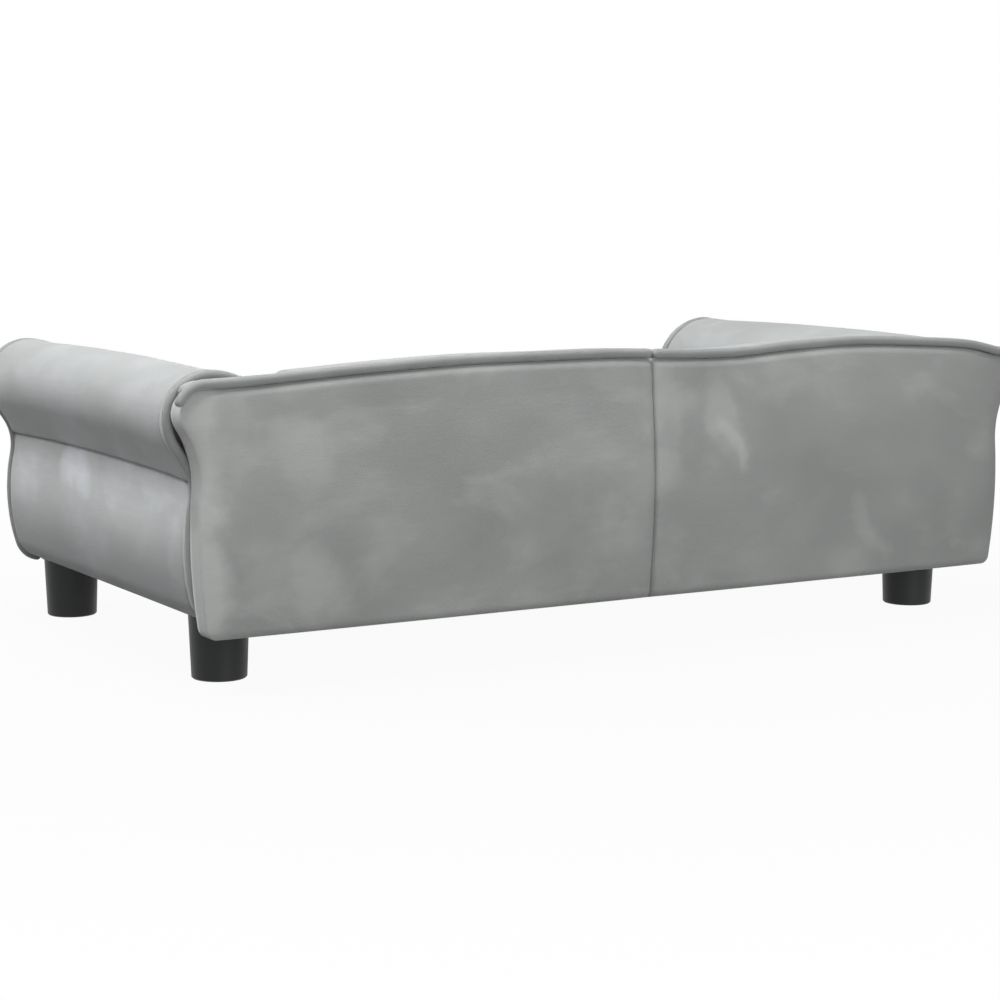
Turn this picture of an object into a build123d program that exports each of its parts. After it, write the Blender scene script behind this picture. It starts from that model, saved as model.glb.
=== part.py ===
"""Small upholstered sofa bed for a dog: scroll arms, wavy back, loose cushion and four legs.

Millimetres, +Z up, origin on the floor at the middle of the footprint. The open front faces -Y,
the rear panel +Y. Left and right are as seen from the front, so the right arm is at +X.
"""
from build123d import *
from math import asin, cos, degrees, radians, sin
import os

os.makedirs("parts", exist_ok=True)

# Legs
LEG_SIDE_INSET = 21.8
LEG_FRONT_INSET = 22.0
LEG_REAR_INSET = 54.5
LEG_H = 60.0
LEG_FOOT_R = 25.0
LEG_TOP_R = 27.4
LEG_CHAMFER = 1.2
STUD_R = 4.0
STUD_DEPTH = 38.0
STUD_TIP = 3.0
THREAD_CLEARANCE = 0.1

# Timber base
RAIL_T = 12.0
RAIL_H = 50.0
BASE_HALF_X = 418.5
BASE_FRONT_Y = -234.0
BASE_REAR_Y = 215.5
BLOCK_SIZE = 60.0
BLOCK_H = 40.0
DECK_T = 9.0
BACK_BOARD_T = 18.0
ARM_BOARD_T = 15.0
BATTEN_SIZE = 20.0
TEE_BARREL_R = 5.2
TEE_BARREL_L = 11.0
TEE_FLANGE_R = 9.4
TEE_FLANGE_T = 1.5

# Upholstery
CLOTH_T = 2.5
FOAM_T = 15.0
DUST_T = 0.8
WELT_R = 4.5
FIT = 0.3
OVERRUN = 5.0

# Scroll arm, section from the seat side over the roll to the foot
ARM_TOP_Z = 282.5
INNER_R = 67.0
ROLL_R = 43.0
ROLL_END_A = 33.0
UNDERCUT_L = 19.0
NECK_R = 45.0
SEAM_A = 13.0
BULGE_A = 12.0
BULGE_R = 190.0
FOOT_R = 28.0
FOOT_IN = 3.5
FRONT_DROP = 5.0
TUCK_L = 12.0
ARM_RISE_MIDDLE = 2.5
ARM_RISE_REAR = -3.0
FACING_T = 12.2
FACING_ROUND = 6.0
FACING_HANG = 8.5

# Shares of the arc at an arm's foot that its pieces reach round
FRONT_WELT_FOOT_SHARE = 0.97
REAR_WELT_FOOT_SHARE = 0.41
FOAM_FOOT_SHARE = 0.2
BOARD_FOOT_SHARE = 0.6

# Rear panel
REAR_OUT = 15.5
REAR_CORNER_DROP = 17.5
REAR_CORNER_R = 22.0
REAR_HOLLOW_R = 90.0
REAR_BULGE_A = 4.7
REAR_BULGE_R = 500.0
REAR_FOOT_R = 9.0
REAR_HANG = 11.5
REAR_CROWN = 25.5
SEAM_X = -8.0
SEAM_DIP = 1.5

# Pillow of the rear panel: shares of its outline, and of its crown
PILLOW_SHARES = ((1.0, 0.0), (0.965, 0.5), (0.87, 0.866), (0.74, 1.0))

# Wave of the back's top: shares of the half width, and of the wave's height
WAVE_H = 16.0
WAVE_SHARES = (
    (-1.0, 0.0), (-0.92, 0.47), (-0.8, 0.74), (-0.57, 1.0), (-0.4, 0.84), (-0.25, 0.58), (-0.1, 0.62),
    (0.06, 0.8), (0.26, 0.8), (0.44, 0.75), (0.65, 0.5), (0.8, 0.26), (0.9, 0.09), (1.0, 0.0),
)

STATION_PITCH = 30.0

# Back
BACK_DEPTH = 45.5
BACK_FRONT_R = 30.0
BACK_REAR_R = 7.0
BACK_FACE_BULGE = 4.0

# Front rail padding
FRONT_FOAM_T = 12.5
FRONT_TOP_R = 12.0
FRONT_FOOT_R = 6.0
FRONT_LAP = 18.0

# Seat cushion
CUSHION_SIDE_GAP = 12.0
CUSHION_FRONT_PROUD = 4.0
CUSHION_REAR_GAP = 14.0
CUSHION_CORNER_R = 30.0
CUSHION_DRAW = 5.0
CUSHION_SEAM_H = 52.0
CUSHION_PUFF = 3.0
CUSHION_CROWN = 17.0
CUSHION_REACH = 120.0
CUSHION_CLOTH_T = 2.0
CUSHION_WELT_R = 4.0
FOAM_CLEARANCE = 0.3

# Zip
ZIP_SIDE_INSET = 95.4
ZIP_TAPE_H = 16.0
ZIP_TAPE_T = 1.2
ZIP_TEETH_H = 4.0
ZIP_TEETH_T = 1.4
ZIP_SLIDER_L = 11.0
ZIP_SLIDER_H = 9.0
ZIP_SLIDER_T = 3.0
ZIP_SLIDER_R = 1.5
ZIP_DEPTH = 0.5
ZIP_END_L = 8.0
ZIP_STOP_L = 3.0
RUNNING_GAP = 0.4

# Screws
SCREW_R = 2.0
SCREW_HEAD_R = 4.0
SCREW_HEAD_H = 2.4
SCREW_L = 32.0
BACK_SCREWS = 6

# Levels and places worked out from the sizes above
BASE_TOP_Z = LEG_H + RAIL_H
DECK_Z = BASE_TOP_Z + DECK_T
ARM_FOOT_Z = LEG_H - 3 * FIT - CLOTH_T
FACING_FOOT_Z = LEG_H - FACING_HANG
REAR_FOOT_Z = LEG_H - REAR_HANG
REAR_CORNER_Z = ARM_TOP_Z - REAR_CORNER_DROP
ARM_FRONT_Y = BASE_FRONT_Y - FOAM_T - FIT
REAR_SIDE_Y = BASE_REAR_Y + BACK_BOARD_T + CLOTH_T
BACK_FACE_Y = BASE_REAR_Y - BACK_DEPTH
BOARD_INSET = CLOTH_T + FOAM_T + 3 * FIT
BACK_WELT_Y = REAR_SIDE_Y + WELT_R - FIT
BACK_WELT_END_A = 72.0
BACK_RISE = BACK_REAR_R + FIT
WELT_INSET = WELT_R - FIT
WADDING_INSET = CLOTH_T + FIT
FACING_INSET = WELT_INSET + WELT_R + FIT
BOARD_REAR_Y = BASE_REAR_Y + BACK_BOARD_T
ARM_REAR_Y = BASE_REAR_Y - 2 * WELT_R - FIT
ARM_SECTIONS = (
    (ARM_FRONT_Y, 0.0),
    ((ARM_FRONT_Y + ARM_REAR_Y) / 2, ARM_RISE_MIDDLE),
    (ARM_REAR_Y, ARM_RISE_REAR),
)
WELT_ENDS = (
    ("front", ARM_FRONT_Y - WELT_R - FIT, FACING_FOOT_Z + WELT_R, 0, FRONT_DROP, FRONT_WELT_FOOT_SHARE),
    ("rear", (ARM_REAR_Y + BASE_REAR_Y) / 2, DECK_Z + FIT, ARM_RISE_REAR, 0, REAR_WELT_FOOT_SHARE),
)
LEG_X = BASE_HALF_X - LEG_SIDE_INSET
FRONT_LEG_Y = BASE_FRONT_Y + LEG_FRONT_INSET
REAR_LEG_Y = BASE_REAR_Y - LEG_REAR_INSET
LEG_PLACES = {
    "front_left": (-LEG_X, FRONT_LEG_Y),
    "front_right": (LEG_X, FRONT_LEG_Y),
    "rear_left": (-LEG_X, REAR_LEG_Y),
    "rear_right": (LEG_X, REAR_LEG_Y),
}
ROUNDING_ANGLES = (0, 30, 60, 90)


# Planes across each axis, at a place along it
def across_x(x):
    return Plane.YZ.offset(x)


def across_y(y):
    return Plane.XZ.offset(-y)


def polar(centre, radius, angle):
    """Point at an angle, in degrees, on a circle in a section."""
    return (centre[0] + radius * cos(radians(angle)), centre[1] + radius * sin(radians(angle)))


def scroll_arcs(x, rise, drop):
    """Centres of the scroll's arcs, each tangent to the one before it, and the bulge's end angle."""
    inner_c = (x, ARM_TOP_Z + rise - INNER_R)
    roll_c = (x, ARM_TOP_Z + rise - ROLL_R)
    undercut_end = polar(polar(roll_c, ROLL_R, -ROLL_END_A), UNDERCUT_L, -90 - ROLL_END_A)
    neck_c = polar(undercut_end, NECK_R, -ROLL_END_A)
    bulge_c = polar(neck_c, NECK_R + BULGE_R, 180 + BULGE_A)
    end_a = degrees(asin((bulge_c[1] - FOOT_R - ARM_FOOT_Z + drop) / (BULGE_R - FOOT_R)))
    foot_c = polar(bulge_c, BULGE_R - FOOT_R, -end_a)
    return inner_c, roll_c, neck_c, bulge_c, foot_c, end_a


# The arms stand where their feet tuck in under the base, and carry the seat and the rear with them
ARM_X = BASE_HALF_X - FOOT_IN - scroll_arcs(0, 0, 0)[4][0]
SEAT_HALF_X = ARM_X - INNER_R - 2 * FIT
REAR_HALF_X = ARM_X + REAR_OUT


def arm_arcs(rise, drop=0):
    """The scroll's arcs at the right arm's place."""
    return scroll_arcs(ARM_X, rise, drop)


def arm_upper(inset, foot_z, rise=0):
    """Edges from the deck on the seat side, over the roll, to the seam under it."""
    inner_c, roll_c, neck_c, _, _, _ = arm_arcs(rise)
    face_x = ARM_X - INNER_R + inset
    Line((face_x, foot_z), (face_x, inner_c[1]))
    CenterArc(inner_c, INNER_R - inset, 180, -90)
    CenterArc(roll_c, ROLL_R - inset, 90, -90 - ROLL_END_A)
    Line(polar(roll_c, ROLL_R - inset, -ROLL_END_A), polar(neck_c, NECK_R + inset, 180 - ROLL_END_A))
    CenterArc(neck_c, NECK_R + inset, 180 - ROLL_END_A, ROLL_END_A - SEAM_A)
    return (face_x, foot_z), polar(neck_c, NECK_R + inset, 180 - SEAM_A)


def arm_lower(inset, rise=0, gap_a=0, foot_share=1, drop=0):
    """Edges from the seam, over the bulge of the lower panel, round a share of the foot."""
    _, _, neck_c, bulge_c, foot_c, end_a = arm_arcs(rise, drop)
    first_a = 180 - SEAM_A + gap_a
    foot_a = (90 - end_a) * foot_share
    CenterArc(neck_c, NECK_R + inset, first_a, 180 + BULGE_A - first_a)
    CenterArc(bulge_c, BULGE_R - inset, BULGE_A, -BULGE_A - end_a)
    CenterArc(foot_c, FOOT_R - inset, -end_a, -foot_a)
    return polar(neck_c, NECK_R + inset, first_a), polar(foot_c, FOOT_R - inset, -end_a - foot_a)


def arm_end(inset, foot_z, rise=0, foot_share=BOARD_FOOT_SHARE, drop=0):
    """Closed outline of an arm's end, from a level at the frame up to the roll."""
    inner, _ = arm_upper(inset, foot_z, rise)
    _, outer = arm_lower(inset, rise, foot_share=foot_share, drop=drop)
    Line(outer, (outer[0], foot_z))
    Line((outer[0], foot_z), inner)


def crest(x):
    """Height of the seam along the back's top: a smooth curve through the wave's shares."""
    share = max(-1.0, min(1.0, x / REAR_HALF_X))
    knots = WAVE_SHARES
    index = max(i for i in range(len(knots) - 1) if knots[i][0] <= share)
    (x0, z0), (x1, z1) = knots[index], knots[index + 1]

    def slope(i):
        before, after = knots[max(i - 1, 0)], knots[min(i + 1, len(knots) - 1)]
        return (after[1] - before[1]) / (after[0] - before[0])

    span = x1 - x0
    t = (share - x0) / span
    rise = (2 * t**3 - 3 * t**2 + 1) * z0 + (3 * t**2 - 2 * t**3) * z1
    rise += (t**3 - 2 * t**2 + t) * span * slope(index) + (t**3 - t**2) * span * slope(index + 1)
    return REAR_CORNER_Z + WAVE_H * rise


# Centres of the rear outline's arcs, from the top corner to the foot
CORNER_C = (REAR_HALF_X, REAR_CORNER_Z - REAR_CORNER_R)
HOLLOW_C = polar(CORNER_C, REAR_CORNER_R + REAR_HOLLOW_R, -ROLL_END_A)
REAR_BULGE_C = polar(HOLLOW_C, REAR_HOLLOW_R + REAR_BULGE_R, 180 + REAR_BULGE_A)
REAR_BULGE_END_A = degrees(
    asin((REAR_BULGE_C[1] - REAR_FOOT_R - REAR_FOOT_Z) / (REAR_BULGE_R - REAR_FOOT_R))
)
REAR_FOOT_C = polar(REAR_BULGE_C, REAR_BULGE_R - REAR_FOOT_R, -REAR_BULGE_END_A)
REAR_MIDDLE_Z = (REAR_CORNER_Z + REAR_FOOT_Z) / 2


def stations(first_x, last_x):
    """Evenly spaced places from one end to the other, at the pitch at which the wave is followed."""
    steps = round((last_x - first_x) / STATION_PITCH)
    return [first_x + (last_x - first_x) * i / steps for i in range(steps + 1)]


def crest_points(first_x, last_x, side=1):
    """Points of the wave between two places of one half, for a curve through them."""
    return [(x, crest(side * x)) for x in stations(first_x, last_x)]


def rear_half(side, inset, seam_x, share=1.0):
    """Closed outline of one half of the rear, drawn at +X and shrunk to a share of its size."""

    def shrunk(point):
        return (point[0] * share, REAR_MIDDLE_Z + (point[1] - REAR_MIDDLE_Z) * share)

    CenterArc(shrunk(CORNER_C), (REAR_CORNER_R - inset) * share, 90, -90 - ROLL_END_A)
    CenterArc(
        shrunk(HOLLOW_C), (REAR_HOLLOW_R + inset) * share, 180 - ROLL_END_A, ROLL_END_A + REAR_BULGE_A
    )
    CenterArc(
        shrunk(REAR_BULGE_C), (REAR_BULGE_R - inset) * share, REAR_BULGE_A, -REAR_BULGE_A - REAR_BULGE_END_A
    )
    CenterArc(
        shrunk(REAR_FOOT_C), (REAR_FOOT_R - inset) * share, -REAR_BULGE_END_A, REAR_BULGE_END_A - 90
    )
    top = [shrunk((x, z - inset)) for x, z in crest_points(side * SEAM_X, REAR_HALF_X, side)]
    top[0] = (seam_x, top[0][1])
    Spline(*top)
    foot = polar(shrunk(REAR_FOOT_C), (REAR_FOOT_R - inset) * share, -90)
    Line(top[0], (seam_x, foot[1]))
    Line((seam_x, foot[1]), foot)


SIDES = (("right", 1), ("left", -1))


# Timber base
with BuildPart() as base_front_rail:
    with BuildSketch(Plane.XY.offset(LEG_H)):
        with Locations((0, BASE_FRONT_Y + RAIL_T / 2)):
            Rectangle(2 * BASE_HALF_X, RAIL_T)
    extrude(amount=RAIL_H)
base_front_rail.part.label = "base_front_rail"
export_step(base_front_rail.part, "parts/base_front_rail.step")

BACK_SCREW_PITCH = 2 * (BASE_HALF_X - BLOCK_SIZE) / (BACK_SCREWS - 1)
BACK_SCREW_Z = LEG_H + RAIL_H / 2
with BuildPart() as base_rear_rail:
    with BuildSketch(Plane.XY.offset(LEG_H)):
        with Locations((0, BASE_REAR_Y - RAIL_T / 2)):
            Rectangle(2 * BASE_HALF_X, RAIL_T)
    extrude(amount=RAIL_H)
    with BuildSketch(across_y(BASE_REAR_Y + OVERRUN)):
        with Locations((0, BACK_SCREW_Z)):
            with GridLocations(BACK_SCREW_PITCH, 1, BACK_SCREWS, 1):
                Circle(SCREW_R + THREAD_CLEARANCE)
    extrude(amount=RAIL_T + 2 * OVERRUN, mode=Mode.SUBTRACT)
base_rear_rail.part.label = "base_rear_rail"
export_step(base_rear_rail.part, "parts/base_rear_rail.step")

SIDE_RAIL_L = BASE_REAR_Y - BASE_FRONT_Y - 2 * RAIL_T
BASE_MIDDLE_Y = (BASE_REAR_Y + BASE_FRONT_Y) / 2
for side_name, side in SIDES:
    with BuildPart() as side_rail:
        with BuildSketch(Plane.XY.offset(LEG_H)):
            with Locations((side * (BASE_HALF_X - RAIL_T / 2), BASE_MIDDLE_Y)):
                Rectangle(RAIL_T, SIDE_RAIL_L)
        extrude(amount=RAIL_H)
    side_rail.part.label = f"base_side_rail_{side_name}"
    export_step(side_rail.part, f"parts/base_side_rail_{side_name}.step")

with BuildPart() as base_centre_rail:
    with BuildSketch(Plane.XY.offset(LEG_H)):
        with Locations((0, BASE_MIDDLE_Y)):
            Rectangle(RAIL_T, SIDE_RAIL_L)
    extrude(amount=RAIL_H)
base_centre_rail.part.label = "base_centre_rail"
export_step(base_centre_rail.part, "parts/base_centre_rail.step")

# Blocks that take the legs: the front pair stands in the corners, the rear pair at the side rails
BLOCK_X = BASE_HALF_X - RAIL_T - BLOCK_SIZE / 2
FRONT_BLOCK_Y = BASE_FRONT_Y + RAIL_T + BLOCK_SIZE / 2
REAR_BLOCK_Y = REAR_LEG_Y
with BuildPart() as leg_blocks:
    with BuildSketch(Plane.XY.offset(LEG_H)):
        with Locations(*[(s * BLOCK_X, y) for s in (-1, 1) for y in (FRONT_BLOCK_Y, REAR_BLOCK_Y)]):
            Rectangle(BLOCK_SIZE, BLOCK_SIZE)
        with Locations(*LEG_PLACES.values()):
            Circle(TEE_BARREL_R + THREAD_CLEARANCE, mode=Mode.SUBTRACT)
    extrude(amount=BLOCK_H)
leg_blocks.part.label = "leg_blocks"
export_step(leg_blocks.part, "parts/leg_blocks.step")

BLOCK_TOP_Z = LEG_H + BLOCK_H
with BuildPart() as tee_nuts:
    with BuildSketch(Plane.XY.offset(BLOCK_TOP_Z)):
        with Locations(*LEG_PLACES.values()):
            Circle(TEE_FLANGE_R)
            Circle(STUD_R + THREAD_CLEARANCE, mode=Mode.SUBTRACT)
    extrude(amount=TEE_FLANGE_T)
    with BuildSketch(Plane.XY.offset(BLOCK_TOP_Z - TEE_BARREL_L)):
        with Locations(*LEG_PLACES.values()):
            Circle(TEE_BARREL_R)
            Circle(STUD_R + THREAD_CLEARANCE, mode=Mode.SUBTRACT)
    extrude(amount=TEE_BARREL_L)
tee_nuts.part.label = "tee_nuts"
export_step(tee_nuts.part, "parts/tee_nuts.step")

with BuildPart() as leg_studs:
    with BuildSketch(Plane.XY.offset(LEG_H - STUD_DEPTH)):
        with Locations(*LEG_PLACES.values()):
            Circle(STUD_R)
    extrude(amount=STUD_DEPTH + BLOCK_H + TEE_FLANGE_T + STUD_TIP)
    chamfer(leg_studs.faces().filter_by(Axis.Z).edges(), length=STUD_R / 4)
leg_studs.part.label = "leg_studs"
export_step(leg_studs.part, "parts/leg_studs.step")

for place_name, place in LEG_PLACES.items():
    with BuildPart() as leg:
        with BuildSketch():
            with Locations(place):
                Circle(LEG_FOOT_R)
        with BuildSketch(Plane.XY.offset(LEG_H)):
            with Locations(place):
                Circle(LEG_TOP_R)
        loft()
        chamfer(leg.faces().sort_by(Axis.Z)[0].edges(), length=LEG_CHAMFER)
        with BuildSketch(Plane.XY.offset(LEG_H - STUD_DEPTH)):
            with Locations(place):
                Circle(STUD_R + THREAD_CLEARANCE)
        extrude(amount=STUD_DEPTH + OVERRUN, mode=Mode.SUBTRACT)
    leg.part.label = f"leg_{place_name}"
    export_step(leg.part, f"parts/leg_{place_name}.step")

with BuildPart() as deck_board:
    with BuildSketch(Plane.XY.offset(BASE_TOP_Z)):
        with Locations((0, BASE_MIDDLE_Y)):
            Rectangle(2 * BASE_HALF_X, BASE_REAR_Y - BASE_FRONT_Y)
    extrude(amount=DECK_T)
deck_board.part.label = "deck_board"
export_step(deck_board.part, "parts/deck_board.step")

# Back board: one sheet, cut to the outline of the rear panel
with BuildPart() as back_board:
    with BuildSketch(across_y(BOARD_REAR_Y)):
        with BuildLine():
            rear_half(1, WADDING_INSET, SEAM_X)
        make_face()
    extrude(amount=BACK_BOARD_T)
    with BuildSketch(across_y(BOARD_REAR_Y)) as far_half:
        with BuildLine():
            rear_half(-1, WADDING_INSET, -SEAM_X)
        make_face()
        mirror(about=Plane.YZ, mode=Mode.REPLACE)
    extrude(amount=BACK_BOARD_T)
    with BuildSketch(across_y(BOARD_REAR_Y + OVERRUN)):
        with Locations((0, BACK_SCREW_Z)):
            with GridLocations(BACK_SCREW_PITCH, 1, BACK_SCREWS, 1):
                Circle(SCREW_R + THREAD_CLEARANCE)
    extrude(amount=BACK_BOARD_T + 2 * OVERRUN, mode=Mode.SUBTRACT)
    with BuildSketch(across_y(BOARD_REAR_Y + OVERRUN)):
        with Locations((0, BACK_SCREW_Z)):
            with GridLocations(BACK_SCREW_PITCH, 1, BACK_SCREWS, 1):
                Circle(SCREW_HEAD_R + THREAD_CLEARANCE)
    extrude(amount=SCREW_HEAD_H + OVERRUN, mode=Mode.SUBTRACT)
back_board.part.label = "back_board"
export_step(back_board.part, "parts/back_board.step")

with BuildPart() as frame_screws:
    with BuildSketch(across_y(BOARD_REAR_Y - SCREW_HEAD_H)):
        with Locations((0, BACK_SCREW_Z)):
            with GridLocations(BACK_SCREW_PITCH, 1, BACK_SCREWS, 1):
                Circle(SCREW_R)
    extrude(amount=SCREW_L - SCREW_HEAD_H)
    with BuildSketch(across_y(BOARD_REAR_Y)):
        with Locations((0, BACK_SCREW_Z)):
            with GridLocations(BACK_SCREW_PITCH, 1, BACK_SCREWS, 1):
                Circle(SCREW_HEAD_R)
    extrude(amount=SCREW_HEAD_H)
frame_screws.part.label = "frame_screws"
export_step(frame_screws.part, "parts/frame_screws.step")

# Arms: boards at both ends, battens between them, foam sleeve, covers, facing and welts
BATTEN_PLACES = (
    (ARM_X - INNER_R + BOARD_INSET + BATTEN_SIZE / 2, DECK_Z + BATTEN_SIZE / 2),
    (BASE_HALF_X - BATTEN_SIZE / 2, DECK_Z + BATTEN_SIZE / 2),
    (ARM_X, ARM_TOP_Z - ROLL_R),
)
SEAM_GAP_A = degrees(FIT / NECK_R)
for side_name, side in SIDES:
    with BuildPart() as front_board:
        with BuildSketch(across_y(BASE_FRONT_Y)):
            with BuildLine():
                arm_end(BOARD_INSET, LEG_H)
            make_face()
        extrude(amount=ARM_BOARD_T)
        if side < 0:
            mirror(about=Plane.YZ, mode=Mode.REPLACE)
    front_board.part.label = f"arm_front_board_{side_name}"
    export_step(front_board.part, f"parts/arm_front_board_{side_name}.step")

    with BuildPart() as rear_board:
        with BuildSketch(across_y(BASE_REAR_Y)):
            with BuildLine():
                arm_end(BOARD_INSET, LEG_H, ARM_RISE_REAR)
            make_face()
            with Locations((ARM_X, DECK_Z / 2)):
                Rectangle(2 * INNER_R, DECK_Z, mode=Mode.SUBTRACT)
        extrude(amount=ARM_BOARD_T)
        if side < 0:
            mirror(about=Plane.YZ, mode=Mode.REPLACE)
    rear_board.part.label = f"arm_rear_board_{side_name}"
    export_step(rear_board.part, f"parts/arm_rear_board_{side_name}.step")

    with BuildPart() as battens:
        with BuildSketch(across_y(BASE_REAR_Y - ARM_BOARD_T)):
            with Locations(*[(side * x, z) for x, z in BATTEN_PLACES]):
                Rectangle(BATTEN_SIZE, BATTEN_SIZE)
        extrude(amount=BASE_REAR_Y - BASE_FRONT_Y - ARM_BOARD_T)
    battens.part.label = f"arm_battens_{side_name}"
    export_step(battens.part, f"parts/arm_battens_{side_name}.step")

    with BuildPart() as arm_foam:
        for y, rise in ARM_SECTIONS:
            with BuildSketch(across_y(y)):
                with BuildLine():
                    outer_start, _ = arm_upper(CLOTH_T + FIT, DECK_Z + FIT, rise)
                    _, outer_end = arm_lower(CLOTH_T + FIT, rise, foot_share=FOAM_FOOT_SHARE)
                    inner_start, _ = arm_upper(CLOTH_T + FIT + FOAM_T, DECK_Z + FIT, rise)
                    _, inner_end = arm_lower(CLOTH_T + FIT + FOAM_T, rise, foot_share=FOAM_FOOT_SHARE)
                    Line(outer_start, inner_start)
                    Line(outer_end, inner_end)
                make_face()
        loft()
        if side < 0:
            mirror(about=Plane.YZ, mode=Mode.REPLACE)
    arm_foam.part.label = f"arm_foam_{side_name}"
    export_step(arm_foam.part, f"parts/arm_foam_{side_name}.step")

    with BuildPart() as arm_cover:
        for y, rise in ARM_SECTIONS:
            with BuildSketch(across_y(y)):
                with BuildLine():
                    outer_start, outer_end = arm_upper(0, DECK_Z + FIT, rise)
                    inner_start, inner_end = arm_upper(CLOTH_T, DECK_Z + FIT, rise)
                    Line(outer_start, inner_start)
                    Line(outer_end, inner_end)
                make_face()
        loft()
        if side < 0:
            mirror(about=Plane.YZ, mode=Mode.REPLACE)
    arm_cover.part.label = f"arm_cover_{side_name}"
    export_step(arm_cover.part, f"parts/arm_cover_{side_name}.step")

    with BuildPart() as side_panel:
        for y, rise in ARM_SECTIONS:
            with BuildSketch(across_y(y)):
                with BuildLine():
                    outer_start, outer_end = arm_lower(0, rise, SEAM_GAP_A)
                    inner_start, inner_end = arm_lower(CLOTH_T, rise, SEAM_GAP_A)
                    Line(outer_start, inner_start)
                    Line(outer_end, (outer_end[0] - TUCK_L, outer_end[1]))
                    Line((outer_end[0] - TUCK_L, outer_end[1]), (inner_end[0] - TUCK_L, inner_end[1]))
                    Line((inner_end[0] - TUCK_L, inner_end[1]), inner_end)
                make_face()
        loft()
        with BuildSketch():
            with Locations(*LEG_PLACES.values()):
                Circle(LEG_TOP_R + FIT)
        extrude(amount=LEG_H, mode=Mode.SUBTRACT)
        if side < 0:
            mirror(about=Plane.YZ, mode=Mode.REPLACE)
    side_panel.part.label = f"side_panel_{side_name}"
    export_step(side_panel.part, f"parts/side_panel_{side_name}.step")

    with BuildPart() as facing:
        for angle in ROUNDING_ANGLES:
            draw = FACING_ROUND * (1 - cos(radians(angle)))
            with BuildSketch(across_y(ARM_FRONT_Y - FACING_T * sin(radians(angle)))):
                with BuildLine():
                    arm_end(
                        FACING_INSET + draw, FACING_FOOT_Z + draw, foot_share=FRONT_WELT_FOOT_SHARE,
                        drop=FRONT_DROP,
                    )
                make_face()
        loft()
        if side < 0:
            mirror(about=Plane.YZ, mode=Mode.REPLACE)
    facing.part.label = f"arm_facing_{side_name}"
    export_step(facing.part, f"parts/arm_facing_{side_name}.step")

    for end_name, end_y, foot_z, rise, drop, foot_share in WELT_ENDS:
        with BuildPart() as arm_welt:
            with BuildLine(across_y(end_y)) as route:
                arm_upper(WELT_INSET, foot_z, rise)
                arm_lower(WELT_INSET, rise, foot_share=foot_share, drop=drop)
            with BuildSketch(Plane(route.line @ 0, z_dir=route.line % 0)):
                Circle(WELT_R)
            sweep(path=route.line)
            if side < 0:
                mirror(about=Plane.YZ, mode=Mode.REPLACE)
        arm_welt.part.label = f"arm_{end_name}_welt_{side_name}"
        export_step(arm_welt.part, f"parts/arm_{end_name}_welt_{side_name}.step")


# Rear panel halves: velvet over wadding, rounded at the rim, drawn in at the centre seam
for side_name, side in SIDES:
    seam_x = side * SEAM_X + FIT / 2
    with BuildPart() as wadding:
        with BuildSketch(across_y(REAR_SIDE_Y)):
            with BuildLine():
                rear_half(side, WADDING_INSET, seam_x + WADDING_INSET)
            make_face()
        extrude(amount=REAR_SIDE_Y - BOARD_REAR_Y - FIT)
        for share, crown_share in PILLOW_SHARES:
            with BuildSketch(across_y(REAR_SIDE_Y + (REAR_CROWN - WADDING_INSET) * crown_share)):
                with BuildLine():
                    rear_half(side, WADDING_INSET, seam_x + WADDING_INSET + SEAM_DIP * crown_share, share)
                make_face()
        loft()
        if side < 0:
            mirror(about=Plane.YZ, mode=Mode.REPLACE)
    wadding.part.label = f"rear_wadding_{side_name}"
    export_step(wadding.part, f"parts/rear_wadding_{side_name}.step")

    with BuildPart() as rear_panel:
        with BuildSketch(across_y(REAR_SIDE_Y)):
            with BuildLine():
                rear_half(side, 0, seam_x)
            make_face()
        extrude(amount=REAR_SIDE_Y - BASE_REAR_Y - FIT)
        for share, crown_share in PILLOW_SHARES:
            with BuildSketch(across_y(REAR_SIDE_Y + REAR_CROWN * crown_share)):
                with BuildLine():
                    rear_half(side, 0, seam_x + SEAM_DIP * crown_share, share)
                make_face()
        loft()
        with BuildSketch(across_y(REAR_SIDE_Y)):
            with BuildLine():
                rear_half(side, CLOTH_T, seam_x + CLOTH_T)
            make_face()
        extrude(amount=REAR_SIDE_Y - BASE_REAR_Y + OVERRUN, mode=Mode.SUBTRACT)
        for share, crown_share in PILLOW_SHARES:
            with BuildSketch(across_y(REAR_SIDE_Y + (REAR_CROWN - CLOTH_T) * crown_share)):
                with BuildLine():
                    rear_half(side, CLOTH_T, seam_x + CLOTH_T + SEAM_DIP * crown_share, share)
                make_face()
        loft(mode=Mode.SUBTRACT)
        with BuildSketch(across_y(BOARD_REAR_Y + FIT)):
            with Locations((seam_x, (crest(SEAM_X) + REAR_FOOT_Z) / 2)):
                Rectangle(3 * CLOTH_T + FIT, crest(SEAM_X) - REAR_FOOT_Z - 2 * CLOTH_T)
        extrude(amount=BACK_BOARD_T + OVERRUN, mode=Mode.SUBTRACT)
        if side < 0:
            mirror(about=Plane.YZ, mode=Mode.REPLACE)
    rear_panel.part.label = f"rear_panel_{side_name}"
    export_step(rear_panel.part, f"parts/rear_panel_{side_name}.step")

    with BuildPart() as back_welt:
        with BuildLine(across_y(BACK_WELT_Y)) as route:
            Spline(*[(x, z + WELT_R + FIT) for x, z in crest_points(seam_x, REAR_HALF_X, side)])
            CenterArc(CORNER_C, REAR_CORNER_R + WELT_R + FIT, 90, -BACK_WELT_END_A)
        with BuildSketch(Plane(route.line @ 0, z_dir=route.line % 0)):
            Circle(WELT_R)
        sweep(path=route.line)
        if side < 0:
            mirror(about=Plane.YZ, mode=Mode.REPLACE)
    back_welt.part.label = f"back_welt_{side_name}"
    export_step(back_welt.part, f"parts/back_welt_{side_name}.step")


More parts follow.
